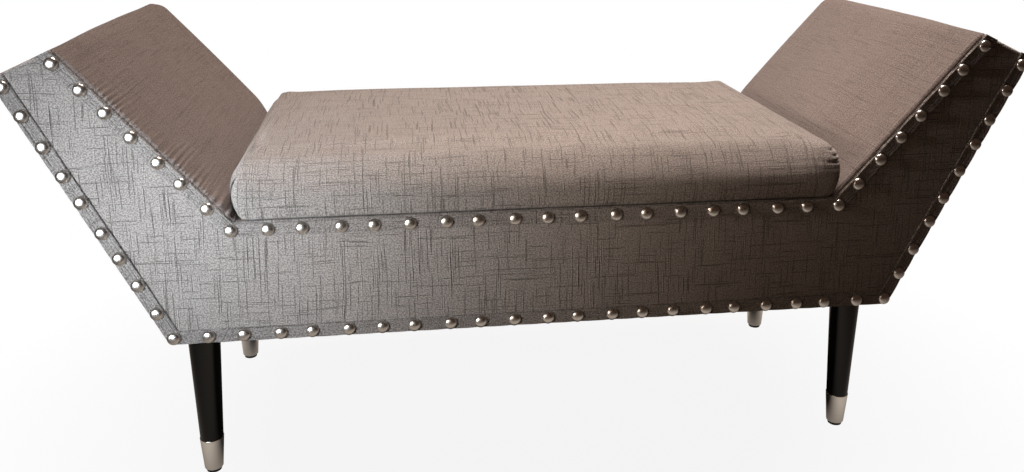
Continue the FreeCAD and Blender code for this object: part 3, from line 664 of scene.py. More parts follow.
# %% [markdown]
# ## Wing covers
# On each wing one length of cloth runs from the seat corner up the padded inner slope, over the
# short top and down the outer end. It is drawn round the front edge and tacked under the strip. On
# the left wing that edge is gathered into many short puckers. On the right wing it was pulled along
# the edge instead, which left long soft lines beside the strip.

# %% Trace the path over a wing
LEFT_FULLNESS = 0.019
RIGHT_FULLNESS = 0.014
FRONT_RISE = 0.16
BACK_ROLL = 0.02
TIP_ROLL = 0.022
CORNER_RADIUS = 0.005
FRONT_RADIUS = 0.0045
BACK_RADIUS = 0.006
TUCKED = 0.0013
HEM = 0.012


def rounded_path(corners, radius, steps):
    """Points along a bent line with rounded corners: (place, way out, distance so far)."""
    places = [corners[0]]
    for before, corner, after in zip(corners, corners[1:], corners[2:]):
        come = (corner - before).normalized()
        leave = (after - corner).normalized()
        half = come.angle(leave) / 2
        reach = radius * math.tan(half)
        for i in range(7):
            share = i / 6
            first = (corner - come * reach).lerp(corner, share)
            second = corner.lerp(corner + leave * reach, share)
            places.append(first.lerp(second, share))
    places.append(corners[-1])
    fine = [places[0]]
    straight = 0
    for start, end in zip(places, places[1:]):
        length = (end - start).length
        count = 1
        if length > 4 * radius:
            count = max(1, int(length / steps[straight]))
            straight += 1
        fine += [start.lerp(end, (i + 1) / count) for i in range(count)]
    result = []
    travelled = 0.0
    for i, place in enumerate(fine):
        ahead = fine[min(i + 1, len(fine) - 1)]
        behind = fine[max(i - 1, 0)]
        way = (ahead - behind).normalized()
        if i:
            travelled += (place - fine[i - 1]).length
        result.append((place, Vector((-way.y, way.x)), travelled))
    return result


INNER_LENGTH = (TIP_IN - SEAT).length
UNDER_PAD = 0.03
WING_CORNERS = [SEAT - Vector((UNDER_PAD, 0)), SEAT, TIP_IN, TIP_OUT, BASE, BASE - Vector((0.014, 0))]
WING_PATH = rounded_path(WING_CORNERS, CORNER_RADIUS, [0.006, 0.0014, 0.006, 0.006, 0.006])
print("points along a wing:", len(WING_PATH))


# %% [markdown]
# The puckers are ripples that start at the tacked edge and die out over a few centimetres, each
# with its own length. Writing them as a sum of smooth waves is quicker than a cloth simulation of
# hundreds of stitches and can be placed where the bench really has them.

# %% Shape the puckers
def gathers(along, inward):
    """Short puckers square to the front edge of the left wing."""
    share = along / INNER_LENGTH
    where = ease(share, 0.02, 0.1) * (1.0 - 0.9 * ease(share, 0.65, 0.9))
    wander = 1.5 * wave(along * 38.0, 3.1)
    ripple = math.cos(2 * math.pi * (along / 0.0066 + wander + 12.0 * inward * wave(along * 21.0, 8.8)))
    length = 0.013 + 0.016 * (0.5 + wave(along * 45.0, 7.7))
    fade = math.exp(-inward / max(0.004, length))
    strength = 0.0028 * max(0.2, 0.55 + 1.2 * wave(along * 42.0, 1.3))
    deep = 0.0026 * math.exp(-(((share - 0.42) / 0.012) ** 2)) * math.exp(-inward / 0.022)
    corner = 0.0024 * (1.0 - ease(share, 0.07, 0.2)) * math.cos(2 * math.pi * along / 0.012)
    start = ease(along, -0.004, 0.004)
    return where * strength * ripple * fade - deep + start * corner * math.exp(-inward / 0.022)


def drawn_lines(along, inward):
    """Long soft lines beside the front edge of the right wing."""
    bend = 0.8 * wave(along * 9.0, 5.0)
    ripple = math.cos(2 * math.pi * (inward / 0.0062) + bend)
    return 0.00045 * ripple * math.exp(-inward / 0.016) * (0.65 + 0.5 * wave(along * 14.0, 2.0))


def roll_off(distance, reach):
    """A quarter-round edge: 0 at the edge, 1 at its reach and beyond."""
    short = max(0.0, 1.0 - max(0.0, distance) / reach)
    return math.sqrt(1.0 - short * short)


def standing(along):
    """1 where the slope's cloth stands up behind the strip, 0 beyond the slope's ends."""
    return ease(along, -0.01, 0.012) * roll_off(INNER_LENGTH - along, TIP_ROLL)


def stuffing(along, inward, outward, side):
    """How far the stuffed slope stands above its edges: a soft slab with rounded rims."""
    full = LEFT_FULLNESS if side < 0 else RIGHT_FULLNESS
    full += 0.002 * math.sin(math.pi * along / INNER_LENGTH)
    seat_end = ease(along, -0.012, 0.07)
    tip_end = roll_off(INNER_LENGTH - along, TIP_ROLL)
    behind = (full - FRONT_RADIUS) * ease(inward, 0.0, FRONT_RISE) * seat_end * tip_end
    return (FRONT_RADIUS * standing(along) + behind) * roll_off(outward, BACK_ROLL)


def depth_shares():
    """Places across a wing as shares of the way back, closer together near the edges."""
    front = [0.0, 1.3, 2.6, 4.0, 5.5, 7.0, 8.6, 10.4, 12.4, 14.6, 17.0, 20.0, 23.5, 27.5, 32.0, 38.0, 46.0]
    middle = spread(54.0, 384.0, 40)
    back = [391.0, 396.0, 400.0, 403.5, 406.5, 409.0, 411.0, 412.6, 414.0, 415.2, 416.2, 417.0]
    return [place / back[-1] for place in front + middle + back]


print("deepest pucker:", round(max(abs(gathers(a, 0.0)) for a in spread(0.0, INNER_LENGTH, 200)), 4))


# %% [markdown]
# A section of the cloth runs from the tacked front edge over the stuffing to the hem at the back.
# Sweeping it along the path, with the stuffing and the puckers worked out afresh at each step, makes
# the whole cover in one piece.

# %% Lay the wing covers
def wing_section(along, side):
    """The cloth from front to back at one place along a wing: (place in depth, way out)."""
    flat_front = FRONT + TUCKED + FRONT_RADIUS
    reach = BACK - BACK_RADIUS - flat_front
    angles = [math.radians(a) for a in (90, 72, 54, 36, 18)]
    on_slope = along < INNER_LENGTH
    ripples = (gathers if side < 0 else drawn_lines) if on_slope else (lambda a, i: 0.0)
    stand = FRONT_RADIUS * standing(along) if on_slope else 0.0
    section = [(FRONT + 0.0015, -FRONT_RADIUS - 0.003)]
    for a in angles:
        more = ripples(along, 0.0) * (1.0 - 0.6 * math.sin(a))
        y = FRONT + TUCKED + FRONT_RADIUS * (1 - math.sin(a)) - more * math.sin(a)
        section.append((y, stand - FRONT_RADIUS * (1 - math.cos(a)) + more * math.cos(a)))
    for part in depth_shares():
        inward = part * reach
        y = flat_front + inward
        lift = 0.0006 * wave(along * 11.0, y * 11.0, side * 4.0) * (1.0 - (2.0 * part - 1.0) ** 4)
        lift += 0.0012 * (1.0 - ease(along, -0.006, 0.0))
        if on_slope:
            lift += stuffing(along, inward, reach - inward, side) + ripples(along, inward)
        section.append((y, lift))
    for a in reversed(angles):
        section.append((BACK - BACK_RADIUS * (1 - math.sin(a)), -BACK_RADIUS * (1 - math.cos(a))))
    section.append((BACK - 0.0012, -BACK_RADIUS - HEM * 0.5))
    section.append((BACK - 0.0018, -BACK_RADIUS - HEM))
    return section


def wing_cover(name, side, nodes):
    """One wing's cloth: side is 1 for the right and -1 for the left."""
    rows = []
    flat_rows = []
    for place, out, travelled in WING_PATH:
        along = travelled - UNDER_PAD
        section = wing_section(along, side)
        rows.append([(side * (place.x + out.x * n), y, place.y + out.y * n) for y, n in section])
        run = 0.0
        measured = []
        last = section[0]
        for y, n in section:
            run += math.hypot(y - last[0], n - last[1])
            last = (y, n)
            measured.append((along, run))
        flat_rows.append(measured)
    cover = grid_piece(name, rows, flat_rows, SHADED_WING_LINEN, turned=side < 0)
    settle(cover, "linen_weave", *nodes)


wing_cover("left_wing_cloth", -1, ["left_wing_cover", "left_wing_foam", "left_end_cover"])
wing_cover("right_wing_cloth", 1, ["right_wing_cover", "right_wing_foam", "right_end_cover"])


# %% [markdown]
# ## Back cloth
# The back is a plain panel, set in a little from the edges with its hem turned under, so the wing
# covers show as a narrow border round it.

# %% Weave the back cloth
BACK_INSET = 0.007


def inset_half():
    """The half outline, moved in by the width of the back panel's border."""
    corners = [Vector((0.0, SEAT.y)), SEAT, TIP_IN, TIP_OUT, BASE, Vector((0.0, BASE.y))]
    moved = []
    for before, corner, after in zip(corners, corners[1:], corners[2:]):
        come = (corner - before).normalized()
        leave = (after - corner).normalized()
        start = before + Vector((come.y, -come.x)) * (0.0 if abs(come.y) < 1e-6 else BACK_INSET)
        finish = after + Vector((leave.y, -leave.x)) * (0.0 if abs(leave.y) < 1e-6 else BACK_INSET)
        moved.append(meet(start, come, finish, leave))
    return moved


def back_depth(place):
    """How far the back panel stands in from the back face at a place."""
    side = Vector((abs(place.x), place.y))
    seat, tip_in, tip_out, base = BACK_RING
    edges = [(seat, tip_in), (tip_in, tip_out), (tip_out, base)]
    if side.x < seat.x:
        edges = [(tip_out, base)]
    edge = min(line_distance(side, a, b) for a, b in edges)
    hem = 0.0018 * (1.0 - ease(edge, 0.0, 0.003))
    return hem + 0.0004 + 0.0003 * wave(place.x * 8.0, place.y * 8.0, 9.0)


BACK_RING = inset_half()
back_rises = [0.0, 0.004, 0.008] + spread(0.02, 0.94, 44) + [0.955, 0.967, 0.977, 0.985, 0.991, 0.996, 1.0]
back_cloth = panel("back_cloth", panel_grid(BACK_RING, 80, back_rises), BACK, -1, back_depth)
thicken(back_cloth, 0.0012)
settle(back_cloth, "linen_weave", "back_cover")


# %% [markdown]
# ### Over the rails
# Between the wings the front and back cloth turn over the top of the rails and run in under the
# pad, so no timber shows in the gap. Each turn is a narrow strip with a rounded edge.

# %% Turn the cloth over the rails
RAIL_TURN = 0.03
TURN_LIFT = 0.0008


def rail_turn(name, face, inward):
    """The cloth over one rail: inward is 1 at the front and -1 at the back."""
    section = [(0.0, -0.004), (0.0001, -0.0016), (0.0006, -0.0005), (0.0016, 0.0)]
    section += [(depth, 0.0) for depth in spread(0.005, RAIL_TURN, 6)]
    rows = []
    flat_rows = []
    for depth, drop in section:
        row = []
        for x in spread(-SEAT.x, SEAT.x, 120):
            lift = TURN_LIFT + 0.0003 * wave(x * 20.0, depth * 40.0, inward)
            row.append((x, face + inward * depth, SEAT.y + drop + lift))
        rows.append(row)
        flat_rows.append([(p[0], depth - drop) for p in row])
    strip = grid_piece(name, rows, flat_rows, LINEN, turned=inward < 0)
    settle(strip, "linen_weave")
    return strip


front_turn = rail_turn("front_rail_turn", FRONT, 1)
back_turn = rail_turn("back_rail_turn", BACK, -1)
rests = {"held": "stretched", "area": outline_area()}


# %% [markdown]
# ## Seat pad
# The pad is a slab of foam under a fitted cover. Its top edges roll over, its sides swell and tuck
# in at the bottom, and the loose cloth is folded away at the corners. Its foot takes a thin band of
# the black dust cloth, painted shade that shows as a dark line above the rail. The form starts as a
# rounded box a little smaller than the pad. A cloth simulation blows it up until the cover is tight,
# which gives the uneven fullness that a drawn curve lacks.

# %% Lay out the pad
PAD_LOW, PAD_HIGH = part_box("seat_cover")
PAD_CROWN = 0.009
PAD_EDGE_TOP = PAD_HIGH.z - PAD_CROWN
PAD_SIDE_ROUND = 0.013
PAD_FACE_ROUND = 0.028
PAD_TOP_ROUND = 0.052
PAD_TUCK = 0.0015
PAD_END_BULGE = 0.013
PAD_FRONT_BULGE = 0.0095
PAD_UNDERCUT = 0.012
PAD_START = 0.002


def axis_cuts(low, high, edge, edge_cells, middle_cells):
    """Places along one side of the pad, closer together near both ends."""
    near = [low + edge * i / edge_cells for i in range(edge_cells)]
    far = [high - edge * (edge_cells - 1 - i) / edge_cells for i in range(edge_cells)]
    return near + spread(low + edge, high - edge, middle_cells + 1) + far


def pad_point(x, y, z, half, front, back, low, top):
    """A point on the pad's plain box, moved onto its rounded form."""
    core_x = max(-half + PAD_SIDE_ROUND, min(half - PAD_SIDE_ROUND, x))
    face = PAD_FACE_ROUND - 0.014 * ease(x, half - 0.06, half - 0.005)
    core_y = max(front + face, min(back - face, y))
    roll = PAD_TOP_ROUND - 0.02 * ease(abs(x), half - 0.06, half - 0.01)
    roll -= 0.014 * ease(x, half - 0.04, half - 0.005)
    core_z = min(z, top - roll)
    way = Vector(((x - core_x) / PAD_SIDE_ROUND, (y - core_y) / face, (z - core_z) / roll))
    if way.length > 1.0:
        way.normalize()
    rise = (z - low) / (top - low)
    tuck = max(0.0, 1.0 - rise / 0.3)
    shrink = PAD_TUCK * (1.0 - math.sqrt(1.0 - tuck * tuck)) / PAD_SIDE_ROUND
    side = Vector((way.x * PAD_SIDE_ROUND, way.y * face))
    depth = (2 * y - front - back) / (back - front)
    dome = (1.0 - (x / half) ** 4) * (1.0 - depth**4)
    fullness = math.sin(math.pi * rise / 1.1)
    bulge = PAD_END_BULGE * (0.8 + 0.2 * depth) * fullness
    new_x = (core_x + side.x * (1.0 - shrink)) * (1.0 + bulge / half)
    height = max(0.0, (core_z + way.z * roll - low) / (top - low))
    overhang = PAD_FRONT_BULGE * math.sin(math.pi * min(1.0, height) ** 0.75)
    lip = PAD_UNDERCUT * max(0.0, 1.0 - (z - low) / 0.006) ** 2.2 * max(0.0, -depth) ** 8
    new_y = core_y + side.y * (1.0 - shrink) + overhang * min(0.0, depth) + lip
    new_z = core_z + way.z * roll + 0.7 * PAD_CROWN * dome * ease(rise, 0.5, 1.0)
    return (new_x, new_y, new_z)


def pad_cage():
    """The pad's starting mesh: the six sides of a box, rounded, with shared edges."""
    half = PAD_HIGH.x - PAD_START
    front = PAD_LOW.y + PAD_START
    back = PAD_HIGH.y - PAD_START
    low = PAD_LOW.z
    top = PAD_EDGE_TOP - PAD_START
    cuts = [
        axis_cuts(-half, half, 0.026, 9, 84),
        axis_cuts(front, back, 0.032, 10, 46),
        [low, low + 0.0008, low + 0.0017, low + 0.0028, low + 0.0042] + spread(low + 0.006, top, 23),
    ]
    right, rear, lid = [len(c) - 1 for c in cuts]
    index = {}
    points = []
    faces = []

    def vertex(i, j, k):
        if (i, j, k) not in index:
            index[(i, j, k)] = len(points)
            place = (cuts[0][i], cuts[1][j], cuts[2][k])
            points.append(pad_point(*place, half, front, back, low, top))
        return index[(i, j, k)]

    def quad(*corners):
        return [vertex(*corner) for corner in corners]

    for i in range(right):
        for j in range(rear):
            faces.append(quad((i, j, 0), (i, j + 1, 0), (i + 1, j + 1, 0), (i + 1, j, 0)))
            faces.append(quad((i, j, lid), (i + 1, j, lid), (i + 1, j + 1, lid), (i, j + 1, lid)))
    for k in range(lid):
        up = k + 1
        for i in range(right):
            faces.append(quad((i, 0, k), (i + 1, 0, k), (i + 1, 0, up), (i, 0, up)))
            faces.append(quad((i + 1, rear, k), (i, rear, k), (i, rear, up), (i + 1, rear, up)))
        for j in range(rear):
            faces.append(quad((0, j + 1, k), (0, j, k), (0, j, up), (0, j + 1, up)))
            faces.append(quad((right, j, k), (right, j + 1, k), (right, j + 1, up), (right, j, up)))
    return new_piece("seat_pad", points, faces)


seat_pad = pad_cage()
print("pad cage:", len(seat_pad.data.vertices), "points")


# %% [markdown]
# The simulation holds the pad's underside and lets air pressure fill the rest for twenty frames,
# with gravity off. No point may move further than the cap, so the pad keeps its measured size.

# %% Fill the pad
PAD_CAP = 0.004
PAD_HELD = 0.02


def fill_pad(pad):
    """Blows the cover up and keeps the result."""
    held = pad.vertex_groups.new(name="held")
    held_below = PAD_LOW.z + PAD_HELD
    held.add([v.index for v in pad.data.vertices if v.co.z < held_below], 1.0, "REPLACE")
    before = [v.co.copy() for v in pad.data.vertices]
    ways = [v.normal.copy() for v in pad.data.vertices]
    cloth = pad.modifiers.new("cloth", "CLOTH")
    cloth.settings.quality = 5
    cloth.settings.vertex_group_mass = "held"
    cloth.settings.use_pressure = True
    cloth.settings.uniform_pressure_force = 4.0
    cloth.settings.effector_weights.gravity = 0.0
    cloth.point_cache.frame_start = 1
    cloth.point_cache.frame_end = 20
    for step in range(1, 21):
        scene.frame_set(step)
    filled = pad.evaluated_get(bpy.context.evaluated_depsgraph_get())
    after = [v.co.copy() for v in filled.data.vertices]
    pad.modifiers.remove(cloth)
    scene.frame_set(1)
    for vertex, old, new, way in zip(pad.data.vertices, before, after, ways):
        outward = max(0.0, (new - old).dot(way))
        vertex.co = old + way * (PAD_CAP * math.tanh(outward / PAD_CAP))
    return max((a - b).length for a, b in zip(before, after))


print("largest move of the pad:", round(fill_pad(seat_pad), 4))


# %% [markdown]
# ### Folds on the pad
# At the right front corner the cover is pleated three times over the roll. The pleats are drawn into
# the mesh after one round of smoothing, when its points are close enough to carry them. Each has a
# height above the pad's foot, a depth and a reach from the pad's right end.

# %% Fold the corner
PLEATS = [(0.0635, 0.0034, 0.017), (0.057, 0.0024, 0.013), (0.0495, 0.0042, 0.02)]
PLEAT_WIDTH = 0.0012
# Painted shade along the pad's foot: its height at the left and how much it grows towards the right.
SHADE_LINE_LEFT = 0.0017
SHADE_LINE_GAIN = 0.0011


def smooth_once(piece):
    """Splits every face in four with smoothing and keeps the result."""
    layer = piece.modifiers.new("smooth", "SUBSURF")
    layer.levels = 1
    layer.render_levels = 1
    shaped = piece.evaluated_get(bpy.context.evaluated_depsgraph_get())
    mesh = bpy.data.meshes.new_from_object(shaped)
    piece.modifiers.remove(layer)
    mesh.name = piece.name
    piece.data = mesh


def pad_fold(point):
    """How far the cloth moves along its normal at a point on the pad."""
    move = 0.0007 * wave(point.x * 9.0, point.y * 9.0, point.z * 9.0)
    rise = point.z - PAD_LOW.z
    from_right = PAD_HIGH.x - point.x
    if point.y < PAD_LOW.y + 0.05:
        for height, depth, reach in PLEATS:
            across = (rise - height) / PLEAT_WIDTH
            move -= depth * math.exp(-across * across) * (1.0 - ease(from_right, 0.001, reach))
        lines = math.cos(rise * 2 * math.pi / 0.009 + 2.0 * wave(point.x * 7.0, 2.0))
        move += 0.00012 * lines * (1.0 - ease(from_right, 0.02, 0.2)) * ease(rise, 0.02, 0.04)
    return move


def dress_pad(pad):
    """Smooths the pad, folds its corner, paints shade along its foot and measures its cloth flat."""
    smooth_once(pad)
    mesh = pad.data
    mesh.update()
    moves = [v.co + v.normal * pad_fold(v.co) for v in mesh.vertices]
    for vertex, place in zip(mesh.vertices, moves):
        vertex.co = place
    layer = mesh.uv_layers.new(name="flat")
    middle_y = (PAD_LOW.y + PAD_HIGH.y) / 2
    for face in mesh.polygons:
        face.use_smooth = True
        # Painted shade: the faces along the pad's foot take the black cloth, a dark line for the shadow gap
        # above the rail, wider towards the right.
        shade_line_top = PAD_LOW.z + SHADE_LINE_LEFT + SHADE_LINE_GAIN * ease(face.center.x, -0.25, 0.2)
        face.material_index = int(face.center.z < shade_line_top)
        for loop in face.loop_indices:
            p = mesh.vertices[mesh.loops[loop].vertex_index].co
            drop = max(0.0, PAD_EDGE_TOP - p.z)
            if abs(face.normal.x) > 0.72:
                layer.data[loop].uv = (p.x + math.copysign(drop, p.x), p.y)
            else:
                layer.data[loop].uv = (p.x, p.y + math.copysign(drop, p.y - middle_y))
    mesh.materials.append(LINEN)
    mesh.materials.append(DUST_CLOTH_AND_SHADE_LINE)
    settle(pad, "linen_weave", "seat_cover", "seat_foam")


dress_pad(seat_pad)

# %% [markdown]
# At the left front corner the end's cloth is folded round onto the front, and the fold's edge stands
# open a little. It is a small sheet of its own, laid round the corner by casting lines at the pad.

# %% Lay the open fold
FOLD_SIZE = (0.014, 0.046)
FOLD_FOOT = 0.012
FOLD_HEAD = FOLD_FOOT + FOLD_SIZE[1]


def corner_fold(pad):
    """The folded edge of the cover at the left front corner."""
    surface = BVHTree.FromObject(pad, bpy.context.evaluated_depsgraph_get())
    axis = Vector((PAD_LOW.x + PAD_SIDE_ROUND, PAD_LOW.y + PAD_SIDE_ROUND))
    rows = []
    flat_rows = []
    for rise in spread(FOLD_FOOT, FOLD_HEAD, 34):
        ends = ease(rise, FOLD_FOOT, 0.02) * (1.0 - ease(rise, 0.052, FOLD_HEAD))
        opening = ends * (0.0007 + 0.001 * math.exp(-(((rise - 0.047) / 0.006) ** 2)))
        edge = math.radians(22.0 + 26.0 * ease(rise, 0.01, 0.055))
        row = []
        measured = []
        for share in spread(0.0, 1.0, 14):
            angle = edge - math.radians(38.0) * (1.0 - share)
            way = Vector((-math.cos(angle), -math.sin(angle), 0.0))
            start = Vector((axis.x, axis.y, PAD_LOW.z + rise)) + way * 0.08
            spot, facing, face, distance = surface.ray_cast(start, -way)
            row.append(spot + facing * (opening * share**1.5 + 0.0009 * ends * share - 0.0005))
            measured.append((share * FOLD_SIZE[0], rise))
        rows.append(row)
        flat_rows.append(measured)
    fold = grid_piece("pad_corner_fold", rows, flat_rows, LINEN)
    settle(fold, "linen_weave")


corner_fold(seat_pad)


# %% [markdown]
# ## Edge strips
# A strip of the same cloth, folded to about the width of a finger, covers each raw front edge. Its
# folded rims stand up and the middle lies lower. Every nail pinches it, so it swells between the
# nails. A grid across the strip carries that profile and lets the nails press into it.

# %% Fold the strips
BAND_RISE = FRONT - BAND_FRONT
NAIL_PINCH = 0.0085


def band_edges(corners, cuts):
    """A strip laid inside the second of three lines, cut or mitred at each end: its four corners."""
    before, start, end, after = corners
    way = (end - start).normalized()
    inward = Vector((way.y, -way.x))
    shifted = start + inward * BAND_WIDTH

    def end_line(corner, far, is_cut):
        leave = (far - corner).normalized()
        if is_cut:
            return leave
        return (leave + (way if corner is start else -way)).normalized()

    first = meet(shifted, way, start, end_line(start, before, cuts[0]))
    second = meet(shifted, way, end, end_line(end, after, cuts[1]))
    return start, end, first, second


def band_profile(share, crisp):
    """Height of the strip across its width, as a part of its full rise."""
    near = math.sin(min(1.0, share / 0.07) * math.pi / 2)
    far = math.sin(min(1.0, (1.0 - share) / (0.08 if crisp else 0.3)) * math.pi / 2)
    dip = 0.35 * math.sin(math.pi * share) ** 2 if crisp else 0.0
    folds = dip + sum(0.24 * math.exp(-(((share - line) / 0.03) ** 2)) for line in (0.3, 0.55, 0.76))
    return 0.22 + 0.78 * near * far - folds


def band(name, node, corners, cuts, scallop, crisp):
    """One folded strip with its nails pressed in."""
    start, end, first, second = band_edges(corners, cuts)
    length = (end - start).length
    count = int(length / 0.0024)
    rows = []
    flat_rows = []
    for share in spread(0.0, 1.0, 37):
        row = []
        measured = []
        for i in range(count + 1):
            t = i / count
            outer = start.lerp(end, t)
            inner = first.lerp(second, t)
            pinch = nail_pull(outer.lerp(inner, 0.5), NAIL_PINCH)
            squeeze = scallop * (pinch - 0.25) * (2 * share - 1)
            wander = 0.0005 * wave(t * length * 40.0, len(name), share)
            across = (inner - outer).normalized()
            place = outer.lerp(inner, share) - across * (squeeze + wander * (1 - abs(2 * share - 1)))
            shifted = share + 3.0 * wander * share * (1 - share) / BAND_WIDTH
            shape = band_profile(min(1.0, max(0.0, shifted)), crisp)
            rise = BAND_RISE * shape * (1.0 - 0.3 * pinch) + 0.0002 * wave(t * length * 70.0, share * 2.0)
            row.append((place.x, FRONT - rise, place.y))
            measured.append((t * length, share * BAND_WIDTH))
        rows.append(row)
        flat_rows.append(measured)
    strip = grid_piece(name, rows, flat_rows, BAND_LINEN)
    settle(strip, "linen_weave", node)


seat_left, in_left, out_left, base_left = [flip(corner) for corner in HALF_OUTLINE]
MITRED = (False, False)
RAIL_RUN = (in_left, seat_left, SEAT, TIP_IN)
BASE_RUN = (TIP_OUT, BASE, base_left, out_left)
RIGHT_INNER_RUN = (seat_left, SEAT, TIP_IN, TIP_OUT)
LEFT_INNER_RUN = (out_left, in_left, seat_left, SEAT)
RIGHT_OUTER_RUN = (TIP_IN, TIP_OUT, BASE, base_left)
LEFT_OUTER_RUN = (BASE, base_left, out_left, in_left)
band("seat_rail_strip", "seat_rail_band", RAIL_RUN, MITRED, 0.0004, True)
band("base_strip", "bottom_band", BASE_RUN, MITRED, 0.0004, True)
band("right_inner_strip", "right_inner_band", RIGHT_INNER_RUN, (False, True), 0.001, True)
band("left_inner_strip", "left_inner_band", LEFT_INNER_RUN, (True, False), 0.0003, False)
band("right_outer_strip", "right_outer_band", RIGHT_OUTER_RUN, (True, False), 0.0007, True)
band("left_outer_strip", "left_outer_band", LEFT_OUTER_RUN, (False, True), 0.0003, True)


# %% [markdown]
# ## Nails
# The nail heads are pressed from thin sheet: a full dome over a short upright rim. They were driven
# by hand, so each leans a little its own way and catches the light differently.

# %% Drive the nails
NAIL_RADIUS = 0.0079
NAIL_RISE = 0.97 * (BAND_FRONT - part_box("seat_rail_nails")[0].y)
NAIL_PROFILE = [(0.972, -0.3), (1.0, -0.05), (1.0, 0.06)]
NAIL_PROFILE += [
    (math.cos(math.radians(a)) ** 0.92, 0.06 + 0.94 * math.sin(math.radians(a))) for a in range(8, 88, 8)
]
NAIL_SIDES = 28


def nail_row(name, node):
    """All the nail heads of one row."""
    points = []
    faces = []
    for number, centre in enumerate(NAILS[node]):
        lean = 0.06 * wave(number * 3.7, len(name) * 1.9)
        tilt = 0.06 * wave(number * 2.3, len(name) * 0.7)
        start = len(points)
        for radius, height in NAIL_PROFILE:
            for i in range(NAIL_SIDES):
                angle = 2 * math.pi * i / NAIL_SIDES
                x = radius * NAIL_RADIUS * math.cos(angle)
                z = radius * NAIL_RADIUS * math.sin(angle)
                rise = height * NAIL_RISE + x * lean + z * tilt
                points.append((centre.x + x, BAND_FRONT - rise, centre.y + z))
        points.append((centre.x, BAND_FRONT - NAIL_RISE, centre.y))
        faces += ring_faces(start, len(NAIL_PROFILE), NAIL_SIDES)
        last = start + (len(NAIL_PROFILE) - 1) * NAIL_SIDES
        for i in range(NAIL_SIDES):
            faces.append((last + i, last + (i + 1) % NAIL_SIDES, len(points) - 1))
    heads = new_piece(name, points, faces, NAIL_METAL)
    settle(heads, "nail_metal", node)


for node in NAIL_ROWS:
    nail_row(node.replace("_nails", "_nail_heads"), node)


# %% [markdown]
# ## Legs
# Four turned legs taper to bright metal ferrules with a small plastic glide under each. Turning a
# profile round an upright line makes all three, with the edges eased as on the real pieces.

# %% Turn the legs
FERRULE_TAPER = 23 / 30


def lathe(name, profile, centre, material, slot, node, sides=72):
    """A turned piece: a profile of (radius, height) swung round an upright line."""
    points = []
    for radius, height in profile:
        for i in range(sides):
            angle = 2 * math.pi * i / sides
            points.append((radius * math.cos(angle), radius * math.sin(angle), height))
    faces = ring_faces(0, len(profile), sides)
    faces.append(tuple(range(sides))[::-1])
    faces.append(tuple(range(len(points) - sides, len(points))))
    piece = new_piece(name, points, faces, material)
    for face in piece.data.polygons[-2:]:
        face.use_smooth = False
    piece.location = (centre.x, centre.y, 0.0)
    bpy.context.view_layer.update()
    settle(piece, slot, node)


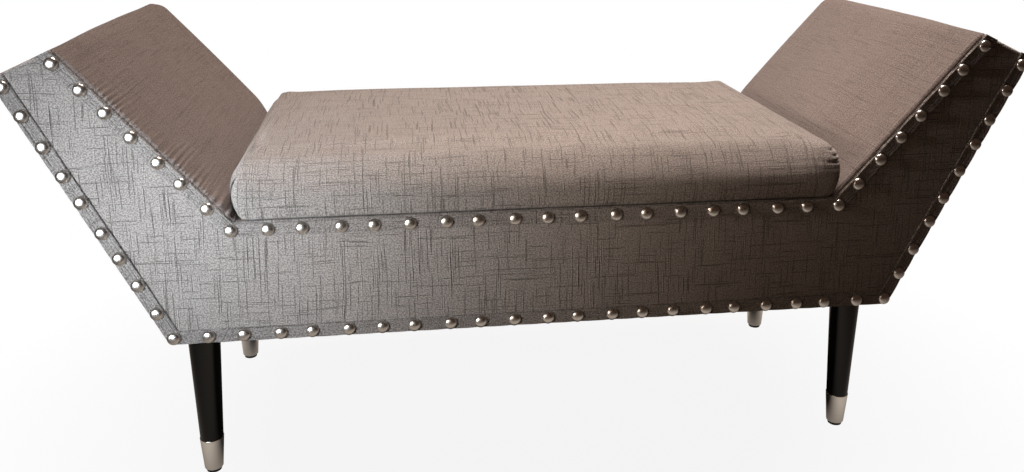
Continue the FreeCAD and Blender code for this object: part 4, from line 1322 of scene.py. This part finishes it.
def turn_leg(corner):
    """One leg with its ferrule and glide."""
    leg_low, leg_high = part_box(corner + "_leg")
    cap_low, cap_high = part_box(corner + "_ferrule")
    pad_low, pad_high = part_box(corner + "_glide")
    centre = (leg_low + leg_high) / 2
    top = (leg_high.x - leg_low.x) / 2
    cap = (cap_high.x - cap_low.x) / 2
    toe = cap * FERRULE_TAPER
    foot = (pad_high.x - pad_low.x) / 2
    neck = cap_high.z
    leg = [(cap - 0.0012, neck - 0.006), (cap - 0.0007, neck)]
    rise = leg_high.z - neck
    leg += [(cap - 0.0007 + (top - cap) * s, neck + rise * s) for s in spread(0.01, 0.985, 24)]
    leg += [(top - 0.0004, leg_high.z - 0.001), (top - 0.0014, leg_high.z)]
    lathe(corner + "_turned_leg", leg, centre, LACQUER, "leg_lacquer", corner + "_leg")
    rise = cap_high.z - cap_low.z
    ferrule = [(toe - 0.0022, cap_low.z), (toe - 0.0008, cap_low.z + 0.0003), (toe, cap_low.z + 0.0013)]
    ferrule += [(toe + (cap - toe) * s, cap_low.z + rise * s) for s in spread(0.06, 0.965, 16)]
    ferrule += [(cap, cap_high.z - 0.0009), (cap - 0.0003, cap_high.z - 0.0003), (cap - 0.001, cap_high.z)]
    lathe(corner + "_bright_cap", ferrule, centre, FERRULE_METAL, "ferrule_metal", corner + "_ferrule")
    glide = [(foot - 0.0012, 0.0), (foot - 0.0003, 0.0004), (foot, 0.0012), (foot, cap_low.z)]
    lathe(corner + "_foot_glide", glide, centre, PLASTIC, "glide_plastic", corner + "_glide")


for corner in ("front_left", "front_right", "back_left", "back_right"):
    turn_leg(corner)


# %% [markdown]
# ## Dust cloth
# Black cloth closes the underside. It is stapled along the rails and sags a few millimetres between
# them. It shows only from below.

# %% Hang the dust cloth
DUST_SAG = 0.003
DUST_END_GAP = 0.008
DUST_RAIL_GAP = 0.004


def dust_sheet():
    """The black cloth under the seat."""
    low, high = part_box("dust_cover")
    middle = (high.z + low.z) / 2
    rows = []
    flat_rows = []
    for y in spread(low.y + DUST_RAIL_GAP, high.y - DUST_RAIL_GAP, 40):
        row = []
        for x in spread(low.x + DUST_END_GAP, high.x - DUST_END_GAP, 76):
            across = 1.0 - (2 * (x - low.x) / (high.x - low.x) - 1.0) ** 2
            along = 1.0 - (2 * (y - low.y) / (high.y - low.y) - 1.0) ** 2
            sag = DUST_SAG * across * along + 0.0006 * wave(x * 14.0, y * 14.0)
            row.append((x, y, middle - sag * ease(across * along, 0.0, 0.3)))
        rows.append(row)
        flat_rows.append([(p[0], p[1]) for p in row])
    sheet = grid_piece("dust_cloth", rows, flat_rows, DUST_CLOTH_AND_SHADE_LINE, turned=True)
    settle(sheet, "dust_cloth", "dust_cover")


dust_sheet()


# %% [markdown]
# ## What is inside
# The boards, blocks, screws and bolts stay as measured and only take their finish. They are hidden
# by the cloth, but the model can be opened up and should show real materials.

# %% Finish the hidden parts
REPLACED = {"cover", "foam", "band", "nails", "leg", "ferrule", "glide"}
STEEL = {"screws", "bolts", "nuts"}
for node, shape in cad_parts.items():
    kind = node.split("_")[-1]
    if kind not in REPLACED:
        shape.data.materials.clear()
        shape.data.materials.append(ZINC if kind in STEEL else TIMBER)
print("hidden parts finished")
